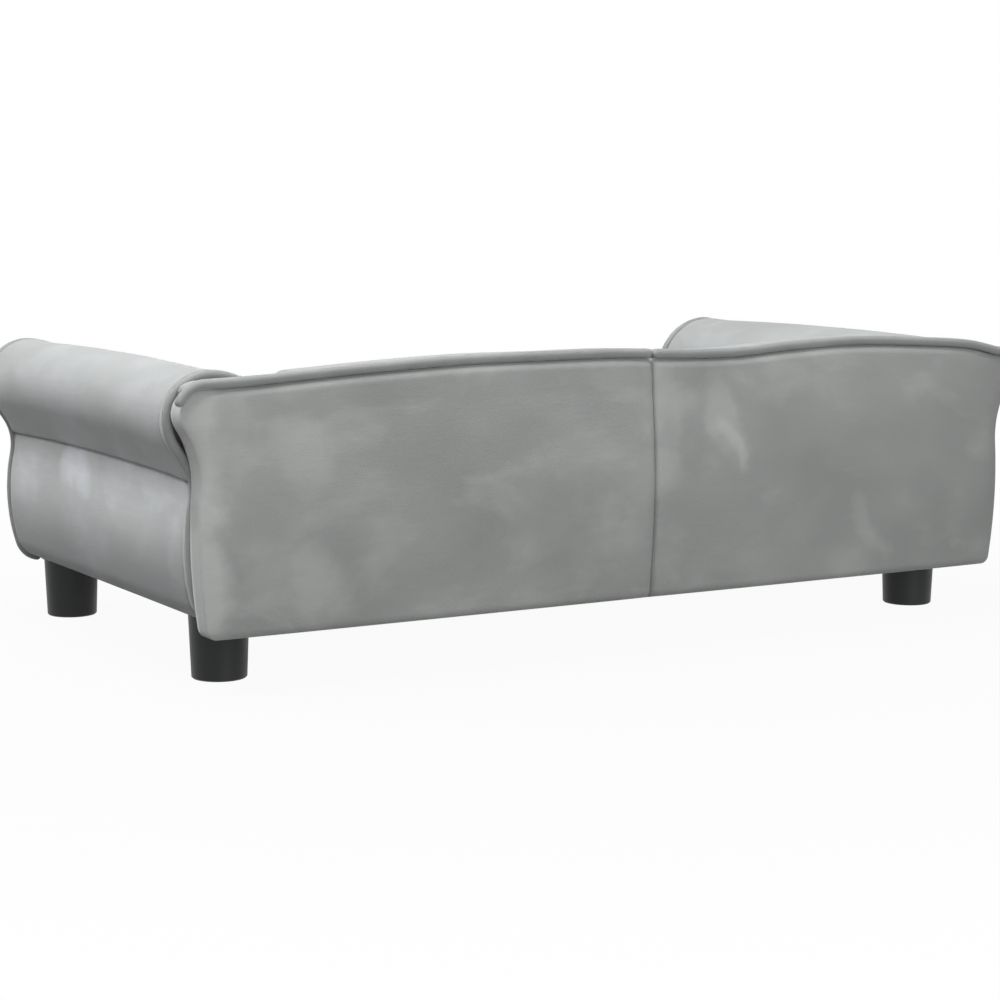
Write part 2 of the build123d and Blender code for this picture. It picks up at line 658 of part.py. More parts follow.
# Inside of the back: foam that rolls over the board's top, and its cover
def back_skin(x, inset):
    """Edges across x of the back's skin: rear lip, top, front roll and face. Returns its ends."""
    top_z = crest(x) + BACK_RISE
    rear_c = (REAR_SIDE_Y - BACK_REAR_R, top_z - BACK_REAR_R)
    front_c = (BACK_FACE_Y + BACK_FRONT_R, top_z - BACK_FRONT_R)
    face_y = BACK_FACE_Y + inset
    CenterArc(rear_c, BACK_REAR_R - inset, 0, 90)
    Line((rear_c[0], top_z - inset), (front_c[0], top_z - inset))
    CenterArc(front_c, BACK_FRONT_R - inset, 90, 90)
    ThreePointArc(
        (face_y, front_c[1]),
        (face_y - BACK_FACE_BULGE, (front_c[1] + DECK_Z + FIT) / 2),
        (face_y, DECK_Z + FIT),
    )
    return (rear_c[0] + BACK_REAR_R - inset, rear_c[1]), (face_y, DECK_Z + FIT)


def cap_skin(x, inset):
    """Edges across x of the cap on the board beside an arm: a low dome. Returns its ends."""
    top_z = crest(x) + BACK_RISE
    rear_c = (REAR_SIDE_Y - BACK_REAR_R, top_z - BACK_REAR_R)
    front_c = (BASE_REAR_Y + FIT + BACK_REAR_R, top_z - BACK_REAR_R)
    CenterArc(rear_c, BACK_REAR_R - inset, 0, 90)
    Line((rear_c[0], top_z - inset), (front_c[0], top_z - inset))
    CenterArc(front_c, BACK_REAR_R - inset, 90, 90)
    return polar(rear_c, BACK_REAR_R - inset, 0), polar(front_c, BACK_REAR_R - inset, 180)


SEAT_STATIONS = stations(-SEAT_HALF_X, SEAT_HALF_X)
CAP_STATIONS = stations(SEAT_HALF_X, REAR_HALF_X)
CAP_END_A = 45.0
BOARD_FACE_Y = BASE_REAR_Y - FIT

with BuildPart() as back_foam:
    for x in SEAT_STATIONS:
        with BuildSketch(across_x(x)):
            with BuildLine():
                rear, front = back_skin(x, CLOTH_T + FIT)
                Line(front, (BOARD_FACE_Y, front[1]))
                Line((BOARD_FACE_Y, front[1]), (BOARD_FACE_Y, rear[1]))
                Line((BOARD_FACE_Y, rear[1]), rear)
            make_face()
    loft()
    for side in (1, -1):
        for x in CAP_STATIONS:
            with BuildSketch(across_x(side * x)):
                with BuildLine():
                    rear, front = cap_skin(side * x, CLOTH_T + FIT)
                    Line(front, rear)
                make_face()
        loft()
        with BuildSketch(across_x(side * REAR_HALF_X)):
            with BuildLine():
                rear, front = cap_skin(side * REAR_HALF_X, CLOTH_T + FIT)
                Line(front, rear)
            make_face()
        revolve(
            axis=Axis((side * REAR_HALF_X, 0, CORNER_C[1]), (0, side, 0)), revolution_arc=CAP_END_A
        )
back_foam.part.label = "back_foam"
export_step(back_foam.part, "parts/back_foam.step")

with BuildPart() as inner_back_cover:
    for x in SEAT_STATIONS:
        with BuildSketch(across_x(x)):
            with BuildLine():
                rear, front = back_skin(x, 0)
                inner_rear, inner_front = back_skin(x, CLOTH_T)
                Line(rear, inner_rear)
                Line(front, inner_front)
            make_face()
    loft()
    for side in (1, -1):
        for x in CAP_STATIONS:
            with BuildSketch(across_x(side * x)):
                with BuildLine():
                    rear, front = cap_skin(side * x, 0)
                    inner_rear, inner_front = cap_skin(side * x, CLOTH_T)
                    Line(rear, inner_rear)
                    Line(front, inner_front)
                make_face()
        loft()
        with BuildSketch(across_x(side * REAR_HALF_X)):
            with BuildLine():
                rear, front = cap_skin(side * REAR_HALF_X, 0)
                inner_rear, inner_front = cap_skin(side * REAR_HALF_X, CLOTH_T)
                Line(rear, inner_rear)
                Line(front, inner_front)
            make_face()
        revolve(
            axis=Axis((side * REAR_HALF_X, 0, CORNER_C[1]), (0, side, 0)), revolution_arc=CAP_END_A
        )
inner_back_cover.part.label = "inner_back_cover"
export_step(inner_back_cover.part, "parts/inner_back_cover.step")

# Front rail: foam on the rail between the arm boards, and the cover that wraps it
FOAM_FRONT_Y = BASE_FRONT_Y - FIT - FRONT_FOAM_T
with BuildPart() as front_rail_foam:
    with BuildSketch(across_x(-SEAT_HALF_X)):
        with BuildLine():
            Polyline(
                (BASE_FRONT_Y - FIT, LEG_H), (BASE_FRONT_Y - FIT, DECK_Z), (FOAM_FRONT_Y, DECK_Z),
                (FOAM_FRONT_Y, LEG_H), close=True,
            )
        make_face()
    extrude(amount=2 * SEAT_HALF_X)
    fillet(front_rail_foam.edges().filter_by(Axis.X).group_by(Axis.Y)[0].sort_by(Axis.Z)[-1], FRONT_TOP_R)
    fillet(front_rail_foam.edges().filter_by(Axis.X).group_by(Axis.Y)[0].sort_by(Axis.Z)[0], FRONT_FOOT_R)
front_rail_foam.part.label = "front_rail_foam"
export_step(front_rail_foam.part, "parts/front_rail_foam.step")

FRONT_SKIN_Y = FOAM_FRONT_Y - FIT
FRONT_SKIN_TOP_Z = DECK_Z + FIT
FRONT_SKIN_FOOT_Z = LEG_H - FIT


def front_skin(proud):
    """Edges of the front cover's outline, from its lap on the deck to its lap under the rail."""
    lap_y = BASE_FRONT_Y + FRONT_LAP
    top_c = (FRONT_SKIN_Y + FRONT_TOP_R + FIT, FRONT_SKIN_TOP_Z - FRONT_TOP_R - FIT)
    foot_c = (FRONT_SKIN_Y + FRONT_FOOT_R + FIT, FRONT_SKIN_FOOT_Z + FRONT_FOOT_R + FIT)
    top_r = FRONT_TOP_R + FIT + proud
    foot_r = FRONT_FOOT_R + FIT + proud
    Line((lap_y, FRONT_SKIN_TOP_Z + proud), polar(top_c, top_r, 90))
    CenterArc(top_c, top_r, 90, 90)
    Line(polar(top_c, top_r, 180), polar(foot_c, foot_r, 180))
    CenterArc(foot_c, foot_r, 180, 90)
    Line(polar(foot_c, foot_r, 270), (lap_y, FRONT_SKIN_FOOT_Z - proud))
    return (lap_y, FRONT_SKIN_TOP_Z + proud), (lap_y, FRONT_SKIN_FOOT_Z - proud)


with BuildPart() as front_rail_cover:
    with BuildSketch(across_x(-SEAT_HALF_X)):
        with BuildLine():
            top_in, foot_in = front_skin(0)
            top_out, foot_out = front_skin(CLOTH_T)
            Line(top_in, top_out)
            Line(foot_in, foot_out)
        make_face()
    extrude(amount=2 * SEAT_HALF_X)
front_rail_cover.part.label = "front_rail_cover"
export_step(front_rail_cover.part, "parts/front_rail_cover.step")

# Lining on the deck, and dust cover under the frame
LINING_FRONT_Y = BASE_FRONT_Y + FRONT_LAP + FIT
LINING_REAR_Y = BACK_FACE_Y - BACK_FACE_BULGE - FIT
with BuildPart() as deck_cover:
    with BuildSketch(Plane.XY.offset(DECK_Z + FIT)):
        with Locations((0, (LINING_FRONT_Y + LINING_REAR_Y) / 2)):
            Rectangle(2 * SEAT_HALF_X, LINING_REAR_Y - LINING_FRONT_Y)
    extrude(amount=CLOTH_T)
deck_cover.part.label = "deck_cover"
export_step(deck_cover.part, "parts/deck_cover.step")

DUST_HALF_X = arm_arcs(0)[4][0] - TUCK_L - OVERRUN
DUST_FRONT_Y = BASE_FRONT_Y + FRONT_LAP + FIT
DUST_REAR_Y = BASE_REAR_Y - OVERRUN
with BuildPart() as dust_cover:
    with BuildSketch(Plane.XY.offset(LEG_H - FIT - DUST_T)):
        with Locations((0, (DUST_FRONT_Y + DUST_REAR_Y) / 2)):
            Rectangle(2 * DUST_HALF_X, DUST_REAR_Y - DUST_FRONT_Y)
        with Locations(*LEG_PLACES.values()):
            Circle(LEG_TOP_R + FIT, mode=Mode.SUBTRACT)
    extrude(amount=DUST_T)
dust_cover.part.label = "dust_cover"
export_step(dust_cover.part, "parts/dust_cover.step")

# Loose seat cushion: boxing that swells, crowned top, sides drawn in between the corners
CUSHION_HALF_X = SEAT_HALF_X - CUSHION_SIDE_GAP
CUSHION_FRONT_Y = BASE_FRONT_Y - CUSHION_FRONT_PROUD
CUSHION_REAR_Y = BACK_FACE_Y - CUSHION_REAR_GAP
CUSHION_FOOT_Z = DECK_Z + CLOTH_T + 2 * FIT
LOW_SEAM_Z = CUSHION_FOOT_Z + CUSHION_WELT_R
TOP_SEAM_Z = CUSHION_FOOT_Z + CUSHION_SEAM_H
BOXING_Z = (LOW_SEAM_Z + TOP_SEAM_Z) / 2
CUSHION_Y = (CUSHION_FRONT_Y + CUSHION_REAR_Y) / 2
CUSHION_HALF_Y = (CUSHION_REAR_Y - CUSHION_FRONT_Y) / 2


def cushion_outline(inset):
    """Closed plan outline with sharp corners: straight rear side, the other sides drawn in."""
    half_x, half_y = CUSHION_HALF_X - inset, CUSHION_HALF_Y - inset
    front_y, rear_y = CUSHION_Y - half_y, CUSHION_Y + half_y
    ThreePointArc((half_x, rear_y), (half_x - CUSHION_DRAW, CUSHION_Y), (half_x, front_y))
    ThreePointArc((half_x, front_y), (0, front_y + CUSHION_DRAW), (-half_x, front_y))
    ThreePointArc((-half_x, front_y), (CUSHION_DRAW - half_x, CUSHION_Y), (-half_x, rear_y))
    Line((-half_x, rear_y), (half_x, rear_y))


CUSHION_SKINS = {}
CORE_INSET = CUSHION_CLOTH_T + FOAM_CLEARANCE
for skin_name, inset in (("cloth", 0), ("hollow", CUSHION_CLOTH_T), ("core", CORE_INSET)):
    with BuildPart() as skin:
        for z, draw in ((CUSHION_FOOT_Z + inset, CUSHION_WELT_R), (LOW_SEAM_Z, 0)):
            with BuildSketch(Plane.XY.offset(z)) as outline:
                with BuildLine():
                    cushion_outline(inset + draw)
                make_face()
                fillet(outline.vertices(), radius=CUSHION_CORNER_R)
        loft()
        for z, puff in ((LOW_SEAM_Z, 0), (BOXING_Z, CUSHION_PUFF), (TOP_SEAM_Z, 0)):
            with BuildSketch(Plane.XY.offset(z)) as outline:
                with BuildLine():
                    cushion_outline(inset - puff)
                make_face()
                fillet(outline.vertices(), radius=CUSHION_CORNER_R)
        loft()
        for angle in ROUNDING_ANGLES:
            draw = CUSHION_REACH * (1 - cos(radians(angle)))
            crown = (CUSHION_CROWN - inset) * sin(radians(angle))
            with BuildSketch(Plane.XY.offset(TOP_SEAM_Z + crown)) as outline:
                with BuildLine():
                    cushion_outline(inset + draw)
                make_face()
                fillet(outline.vertices(), radius=CUSHION_CORNER_R)
        loft()
    CUSHION_SKINS[skin_name] = skin.part

with BuildPart() as cushion_core:
    add(CUSHION_SKINS["core"])
cushion_core.part.label = "cushion_core"
export_step(cushion_core.part, "parts/cushion_core.step")

ZIP_FACE_Y = CUSHION_REAR_Y + CUSHION_PUFF - ZIP_DEPTH
ZIP_L = 2 * (CUSHION_HALF_X - ZIP_SIDE_INSET)
with BuildPart() as cushion_cover:
    add(CUSHION_SKINS["cloth"])
    add(CUSHION_SKINS["hollow"], mode=Mode.SUBTRACT)
    with BuildSketch(across_y(ZIP_FACE_Y + OVERRUN)):
        with Locations((0, BOXING_Z)):
            Rectangle(ZIP_L + 2 * FIT, ZIP_TAPE_H + 2 * FIT)
    extrude(amount=2 * OVERRUN, mode=Mode.SUBTRACT)
cushion_cover.part.label = "cushion_cover"
export_step(cushion_cover.part, "parts/cushion_cover.step")

CUSHION_WELT_OUT = CUSHION_WELT_R + 2 * FIT
for seam_name, seam_z in (("top", TOP_SEAM_Z), ("bottom", LOW_SEAM_Z)):
    with BuildPart() as cushion_welt:
        with BuildLine(Plane.XY.offset(seam_z)) as route:
            cushion_outline(-CUSHION_WELT_OUT)
            fillet(route.vertices(), radius=CUSHION_CORNER_R + CUSHION_WELT_OUT)
        with BuildSketch(Plane(route.wire() @ 0, z_dir=route.wire() % 0)):
            Circle(CUSHION_WELT_R)
        sweep(path=route.wire())
    cushion_welt.part.label = f"cushion_welt_{seam_name}"
    export_step(cushion_welt.part, f"parts/cushion_welt_{seam_name}.step")

# Zip in the rear boxing: tape with its row of teeth, slider that straddles the row, end stops
TEETH_HALF_X = ZIP_L / 2 - ZIP_END_L
with BuildPart() as zip_tape:
    with BuildSketch(across_y(ZIP_FACE_Y)):
        with Locations((0, BOXING_Z)):
            Rectangle(ZIP_L, ZIP_TAPE_H)
    extrude(amount=ZIP_TAPE_T)
    with BuildSketch(across_y(ZIP_FACE_Y)):
        with Locations((0, BOXING_Z)):
            Rectangle(2 * TEETH_HALF_X, ZIP_TEETH_H)
    extrude(amount=-ZIP_TEETH_T)
zip_tape.part.label = "zip_tape"
export_step(zip_tape.part, "parts/zip_tape.step")

SLIDER_X = ZIP_SLIDER_L / 2 - TEETH_HALF_X
with BuildPart() as zip_slider:
    with BuildSketch(across_y(ZIP_FACE_Y + RUNNING_GAP)):
        with Locations((SLIDER_X, BOXING_Z)):
            RectangleRounded(ZIP_SLIDER_L, ZIP_SLIDER_H, ZIP_SLIDER_R)
    extrude(amount=-ZIP_SLIDER_T)
    with BuildSketch(across_y(ZIP_FACE_Y)):
        with Locations((SLIDER_X, BOXING_Z)):
            Rectangle(ZIP_SLIDER_L + OVERRUN, ZIP_TEETH_H + 2 * RUNNING_GAP)
    extrude(amount=-ZIP_TEETH_T - RUNNING_GAP, mode=Mode.SUBTRACT)
zip_slider.part.label = "zip_slider"
export_step(zip_slider.part, "parts/zip_slider.step")

STOP_X = TEETH_HALF_X + RUNNING_GAP + ZIP_STOP_L / 2
with BuildPart() as zip_stops:
    with BuildSketch(across_y(ZIP_FACE_Y)):
        with Locations((-STOP_X, BOXING_Z), (STOP_X, BOXING_Z)):
            Rectangle(ZIP_STOP_L, ZIP_TEETH_H + ZIP_TEETH_T)
    extrude(amount=-ZIP_TEETH_T - RUNNING_GAP)
zip_stops.part.label = "zip_stops"
export_step(zip_stops.part, "parts/zip_stops.step")
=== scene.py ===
# %% [markdown]
# # Dressing a dog sofa bed in velvet
# The timber, the legs and the hardware come from the CAD model and are only painted here.
# Every soft part is built again as cloth over padding, in the same frame and in metres.
# The steps are: frame, camera, light, materials, arms, back, seat, zip and the sizes at the end.

# %% Set-up
import math

import bmesh
import bpy
from mathutils import Matrix, Vector, noise


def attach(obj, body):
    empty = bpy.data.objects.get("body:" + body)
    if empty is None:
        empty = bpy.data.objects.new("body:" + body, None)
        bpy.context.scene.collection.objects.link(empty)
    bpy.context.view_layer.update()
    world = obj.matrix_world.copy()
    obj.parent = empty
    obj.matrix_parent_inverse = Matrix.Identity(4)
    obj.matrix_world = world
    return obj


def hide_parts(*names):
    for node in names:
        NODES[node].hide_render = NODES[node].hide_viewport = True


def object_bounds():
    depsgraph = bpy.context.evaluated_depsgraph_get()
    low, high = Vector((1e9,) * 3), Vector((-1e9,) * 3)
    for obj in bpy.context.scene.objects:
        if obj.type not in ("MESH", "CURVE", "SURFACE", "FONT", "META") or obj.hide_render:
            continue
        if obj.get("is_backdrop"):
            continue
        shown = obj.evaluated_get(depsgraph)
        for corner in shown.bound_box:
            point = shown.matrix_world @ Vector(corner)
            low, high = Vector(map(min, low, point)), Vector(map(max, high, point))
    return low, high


MM = 0.001
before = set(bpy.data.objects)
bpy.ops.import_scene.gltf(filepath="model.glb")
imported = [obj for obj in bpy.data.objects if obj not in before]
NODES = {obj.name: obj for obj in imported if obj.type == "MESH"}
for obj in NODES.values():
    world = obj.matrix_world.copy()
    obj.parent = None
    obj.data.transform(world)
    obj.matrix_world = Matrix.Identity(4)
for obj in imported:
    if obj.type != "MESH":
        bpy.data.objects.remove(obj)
cad_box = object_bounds()
print("CAD nodes:", len(NODES), "box:", [tuple(round(c, 4) for c in corner) for corner in cad_box])

# %% [markdown]
# ## Camera
# The viewpoint was worked out from the legs, the lower edges and the seam in the photograph.
# It stands behind the sofa, slightly above it, and its frame is shifted a little sideways.

# %% Camera
CAMERA_PLACE = Vector((1.2371, 2.0742, 0.4274))
CAMERA_AIM = Vector((-0.4936, -0.8602, -0.1278))
camera_data = bpy.data.cameras.new("camera")
camera_data.sensor_fit = "HORIZONTAL"
camera_data.sensor_width = 36.0
camera_data.lens = 85.0
camera_data.shift_x = 0.0313
camera_data.clip_start = 0.05
camera = bpy.data.objects.new("camera", camera_data)
bpy.context.collection.objects.link(camera)
turn = CAMERA_AIM.to_track_quat("-Z", "Y").to_matrix().to_4x4()
camera.matrix_world = Matrix.Translation(CAMERA_PLACE) @ turn
bpy.context.scene.camera = camera
print("camera at", tuple(round(c, 3) for c in CAMERA_PLACE))

# %% [markdown]
# ## Small helpers for materials
# One function turns a written colour into the linear values that a shader needs.
# Another adds a node, sets its sockets and links what it is given, so a material reads as a list.
# Laying colours one over the other, each by a share of a pattern, is what most finishes here come to.


# %% Node helpers
def colour(written):
    """Linear RGBA of a colour written as sRGB, such as '#8a8c8a'."""
    parts = [int(written[i:i + 2], 16) / 255 for i in (1, 3, 5)]
    return tuple(c / 12.92 if c <= 0.04045 else ((c + 0.055) / 1.055) ** 2.4 for c in parts) + (1.0,)


def add(tree, kind, values=None, **settings):
    """A new node. values holds its inputs by name or number, each as a constant, a socket to link, or
    a node whose first output is linked."""
    node = tree.nodes.new(kind)
    for key, value in settings.items():
        setattr(node, key, value)
    for key, value in (values or {}).items():
        if isinstance(value, bpy.types.Node):
            value = value.outputs[0]
        if isinstance(value, bpy.types.NodeSocket):
            tree.links.new(value, node.inputs[key])
        else:
            node.inputs[key].default_value = value
    return node


def new_material(name):
    """An empty node material, its tree and the object's own coordinates."""
    material = bpy.data.materials.new(name)
    material.use_nodes = True
    tree = material.node_tree
    tree.nodes.clear()
    return material, tree, add(tree, "ShaderNodeTexCoord").outputs["Object"]


def finished(material, values):
    """The material, ended in one principled shader with these inputs."""
    tree = material.node_tree
    shader = add(tree, "ShaderNodeBsdfPrincipled", values)
    add(tree, "ShaderNodeOutputMaterial", {"Surface": shader})
    return material


def along_axis(axis, scale):
    """Scales for a Mapping node. One below 1 makes a pattern longer along that axis."""
    return tuple(scale if each == axis else 1.0 for each in "XYZ")


def cloud(tree, place, size, detail=3.0, low=0.35, high=0.65, distortion=0.0):
    """Noise whose features are about this many metres across, spread between two levels."""
    source = add(tree, "ShaderNodeTexNoise", {
        "Vector": place, "Scale": 1 / size, "Detail": detail, "Roughness": 0.55,
        "Distortion": distortion,
    })
    return add(tree, "ShaderNodeMapRange", {"Value": source, "From Min": low, "From Max": high})


def laid_over(tree, base, *layers):
    """A colour with others laid over it: each layer is a pattern, its strength and a written colour."""
    for pattern, strength, written in layers:
        share = add(tree, "ShaderNodeMath", {0: pattern, 1: strength}, operation="MULTIPLY", use_clamp=True)
        mix = add(tree, "ShaderNodeMix", {0: share, 6: base, 7: colour(written)}, data_type="RGBA")
        base = mix.outputs[2]
    return base


print("material helpers ready")

# %% [markdown]
# ## Velvet
# Velvet is a short pile that leans. Where a hand or a roll has turned the pile, it looks paler or
# darker: soft clouds, 60 to 120 mm across, with a few brushed strokes inside them.
# Some marks are listed one by one; the tall pale strip at the rear's side rim, a crease on the rear and
# bands on the side are painted highlight. The side also grows paler upwards: painted light.
# The pile stands about a quarter of a millimetre proud, and catches light at its rim: the sheen.

# %% Velvet
PATCH_SIZE, STROKE_SIZE, FIBRE_SIZE, PILE_DEPTH = 0.055, 0.006, 0.0011, 0.00028  # metres
CLOUD_STRETCH, STROKE_STRETCH = 0.65, 0.2  # scales along the brushed axis: a smaller one is longer
RAG_SIZE, RAG_REACH = 0.04, 0.045  # metres: how coarse and how wide the ragged rims of marks are


def tone_and_light_marks(tree, place, marks):
    """Sum of soft spots with ragged rims: patches of the velvet's tone, or painted highlight. Each has a
    centre, half sizes, a tilt and a strength.
    """
    source = add(tree, "ShaderNodeTexNoise", {"Vector": place, "Scale": 1 / RAG_SIZE, "Detail": 4.0})
    centred = add(tree, "ShaderNodeVectorMath", {
        0: source.outputs["Color"], 1: (0.5, 0.5, 0.5),
    }, operation="SUBTRACT")
    ragged = add(tree, "ShaderNodeVectorMath", {
        0: centred, 1: (RAG_REACH, RAG_REACH, RAG_REACH), 2: place,
    }, operation="MULTIPLY_ADD")
    total = 0.0
    for centre, half_sizes, tilt, strength in marks:
        local = add(tree, "ShaderNodeMapping", {
            "Vector": ragged, "Location": [c * MM for c in centre],
            "Rotation": (0.0, math.radians(tilt), 0.0), "Scale": [h * MM for h in half_sizes],
        }, vector_type="TEXTURE")
        away = add(tree, "ShaderNodeVectorMath", {0: local}, operation="LENGTH")
        fall = add(tree, "ShaderNodeMapRange", {
            "Value": away.outputs["Value"], "From Min": 0.4, "From Max": 1.15,
            "To Min": strength, "To Max": 0.0,
        }, interpolation_type="SMOOTHSTEP")
        total = add(tree, "ShaderNodeMath", {0: total, 1: fall}, operation="ADD")
    return total


def velvet(name, dark, middle, pale, brushed, cloud_size=0.11, marks=(), rise=None):
    """brushed is the axis along which the pile was stroked; strokes and clouds are long along it."""
    material, tree, place = new_material(name)
    slack = add(tree, "ShaderNodeMapping", {"Vector": place, "Scale": along_axis(brushed, CLOUD_STRETCH)})
    drawn = add(tree, "ShaderNodeMapping", {"Vector": place, "Scale": along_axis(brushed, STROKE_STRETCH)})
    clouds = cloud(tree, slack, cloud_size, 2.0, 0.38, 0.64, 0.3)
    patches = cloud(tree, slack, PATCH_SIZE, 3.0, 0.5, 0.74, 0.35)
    strokes = cloud(tree, drawn, STROKE_SIZE, 3.0, 0.3, 0.72)
    fibres = cloud(tree, place, FIBRE_SIZE, 2.0, 0.25, 0.75)
    base = laid_over(tree, colour(dark), (clouds, 1.0, middle), (patches, 0.55, pale))
    # marks lay patches of the velvet's tone and, where their list says so, painted highlight
    if marks:
        total = tone_and_light_marks(tree, place, marks)
        base = laid_over(tree, base, (total, 1.0, pale), (total, -1.0, dark))
    # rise paints light: the colour is scaled from darker low down to paler high up
    if rise is not None:
        low_z, high_z, painted_shade_level, painted_light_level = rise
        height = add(tree, "ShaderNodeSeparateXYZ", {0: place}).outputs["Z"]
        level = add(tree, "ShaderNodeMapRange", {
            "Value": height, "From Min": low_z, "From Max": high_z,
            "To Min": painted_shade_level, "To Max": painted_light_level,
        }, interpolation_type="SMOOTHSTEP")
        base = add(tree, "ShaderNodeVectorMath", {0: base, "Scale": level}, operation="SCALE")
    base = laid_over(tree, base, (strokes, 0.14, dark), (fibres, 0.12, pale))
    pile = add(tree, "ShaderNodeBump", {"Height": fibres, "Distance": PILE_DEPTH, "Strength": 0.6})
    stroked_pile = add(tree, "ShaderNodeBump", {
        "Height": strokes, "Distance": PILE_DEPTH, "Strength": 0.35, "Normal": pile,
    })
    return finished(material, {
        "Base Color": base, "Roughness": 0.86, "Normal": stroked_pile, "Sheen Weight": 0.35,
        "Sheen Roughness": 0.4, "Specular IOR Level": 0.2,
    })


# places in mm on the rear and on the right side: centre, half sizes, tilt in degrees, strength. Most are
# patches of the velvet's tone; the ones noted below are painted highlight.
REAR_TONE_AND_LIGHT_MARKS = (
    ((430, 257, 238), (36, 90, 46), 0, 0.3), ((353, 257, 204), (26, 90, 44), 10, 0.5),
    ((345, 257, 95), (36, 90, 34), -15, 0.55), ((436, 257, 82), (24, 90, 30), 0, 0.4),
    # the mark at (490, 250, 150) is painted highlight: a tall pale strip along the rear's side rim
    ((490, 250, 150), (62, 120, 400), 0, 2.2), ((244, 257, 130), (62, 90, 58), 0, 0.2),
    ((95, 257, 124), (44, 90, 42), 0, -0.6), ((395, 257, 150), (42, 90, 26), 0, -0.4),
    # the two tilted pale marks near x -95 are painted highlight along a crease
    ((-90, 257, 216), (22, 60, 56), 19, 0.5), ((-99, 257, 192), (10, 60, 30), 19, 0.5),
    ((-52, 257, 192), (22, 80, 44), 0, -0.7), ((-348, 257, 140), (34, 80, 30), 0, -0.7),
    ((-262, 257, 112), (12, 80, 34), 20, 0.3), ((-150, 257, 250), (40, 80, 20), 0, 0.25),
)
SIDE_TONE_AND_LIGHT_MARKS = (
    # the two pale marks high on the panel are painted highlight; the third is a darker patch
    ((455, -62, 166), (60, 42, 26), 0, 1.0), ((455, 140, 172), (60, 66, 18), 0, 0.4),
    ((455, 60, 110), (60, 50, 20), 0, -0.5),
)
# painted light on the side panels: from this height to that, the colour goes from painted shade to painted
# highlight
PAINTED_LIGHT_RISE = (0.084, 0.158, 0.74, 1.7)  # from this height to that, in metres, from this level to that
# grey short-pile velvet: rear, rolls, lower side panels with painted light on their paler upper half, and
# seat
VELVET_REAR = velvet("velvet_rear", "#8f918f", "#9b9d9b", "#b2b4b2", "X", marks=REAR_TONE_AND_LIGHT_MARKS)
VELVET_ARM = velvet("velvet_arm", "#989a99", "#a1a3a3", "#b2b4b6", "Y")
VELVET_SIDE = velvet("velvet_side", "#969898", "#a1a3a3", "#b4b6b9", "Y", marks=SIDE_TONE_AND_LIGHT_MARKS, rise=PAINTED_LIGHT_RISE)
VELVET_SEAT = velvet("velvet_seat", "#969897", "#9fa1a0", "#b0b2b2", "X")
# the same velvet cut on the bias and sewn round a cord, in a darker copy whose darkening is painted shade
VELVET_WELT_SHADED = velvet("velvet_welt", "#8a8c8b", "#929493", "#a0a2a1", "X", 0.03)
print("velvets:", [m.name for m in bpy.data.materials if m.name.startswith("velvet")])

# %% [markdown]
# ## The other materials
# Black nonwoven lining, moulded plastic legs, plywood and pine, zinc-plated steel, and the zip.
# Each grain, rib or speck has its real size, because a part this small is looked at from close by.


# %% Other materials
def nonwoven(name, dark, pale):
    """Felted black cloth: pressed fibres and a grid of tiny bonded dots 2 mm apart."""
    material, tree, place = new_material(name)
    fibres = cloud(tree, place, 0.0016, 4.0, 0.3, 0.7, 1.5)
    dots = add(tree, "ShaderNodeTexVoronoi", {"Vector": place, "Scale": 500.0, "Randomness": 0.15})
    pressed = add(tree, "ShaderNodeMapRange", {"Value": dots, "From Min": 0.1, "From Max": 0.45})
    felt = add(tree, "ShaderNodeBump", {"Height": fibres, "Distance": 0.0002, "Strength": 0.6})
    bonded = add(tree, "ShaderNodeBump", {
        "Height": pressed, "Distance": 0.00025, "Strength": 0.5, "Normal": felt,
    })
    return finished(material, {
        "Base Color": laid_over(tree, colour(dark), (fibres, 1.0, pale)), "Roughness": 0.92,
        "Normal": bonded, "Specular IOR Level": 0.2,
    })


def moulded(name, base_colour, rub):
    """Satin moulded plastic: fine spark texture, with faint rubbed patches."""
    material, tree, place = new_material(name)
    grain = cloud(tree, place, 0.0007, 2.0, 0.3, 0.7)
    upright = add(tree, "ShaderNodeMapping", {"Vector": place, "Scale": along_axis("Z", 0.4)})
    rubbed = cloud(tree, upright, 0.02, 4.0, 0.5, 0.75)
    return finished(material, {
        "Base Color": laid_over(tree, colour(base_colour), (rubbed, 1.0, rub)),
        "Roughness": add(tree, "ShaderNodeMapRange", {"Value": rubbed, "To Min": 0.42, "To Max": 0.56}),
        "Normal": add(tree, "ShaderNodeBump", {"Height": grain, "Distance": 0.00005, "Strength": 0.7}),
        "Specular IOR Level": 0.35,
    })


def timber(name, dark, pale, grain_axis, grain_size):
    """Sawn wood: growth rings seen as bands, stretched along the grain, with a fibrous surface."""
    material, tree, place = new_material(name)
    with_grain = add(tree, "ShaderNodeMapping", {"Vector": place, "Scale": along_axis(grain_axis, 0.06)})
    grain = cloud(tree, with_grain, grain_size, 6.0, 0.3, 0.7, 0.8)
    pores = cloud(tree, with_grain, 0.0012, 3.0, 0.35, 0.75)
    return finished(material, {
        "Base Color": laid_over(tree, colour(dark), (grain, 1.0, pale), (pores, 0.2, dark)),
        "Roughness": 0.7,
        "Normal": add(tree, "ShaderNodeBump", {"Height": pores, "Distance": 0.0002, "Strength": 0.5}),
    })


def metal(name, base_colour, roughness):
    """Plated or enamelled small parts, with fine tumbling marks."""
    material, tree, place = new_material(name)
    marks = cloud(tree, place, 0.0009, 3.0, 0.3, 0.7)
    tumbled = add(tree, "ShaderNodeMapRange", {
        "Value": marks, "To Min": roughness - 0.06, "To Max": roughness + 0.08,
    })
    return finished(material, {
        "Base Color": colour(base_colour), "Metallic": 1.0, "Roughness": tumbled,
        "Normal": add(tree, "ShaderNodeBump", {"Height": marks, "Distance": 0.00003, "Strength": 0.5}),
    })


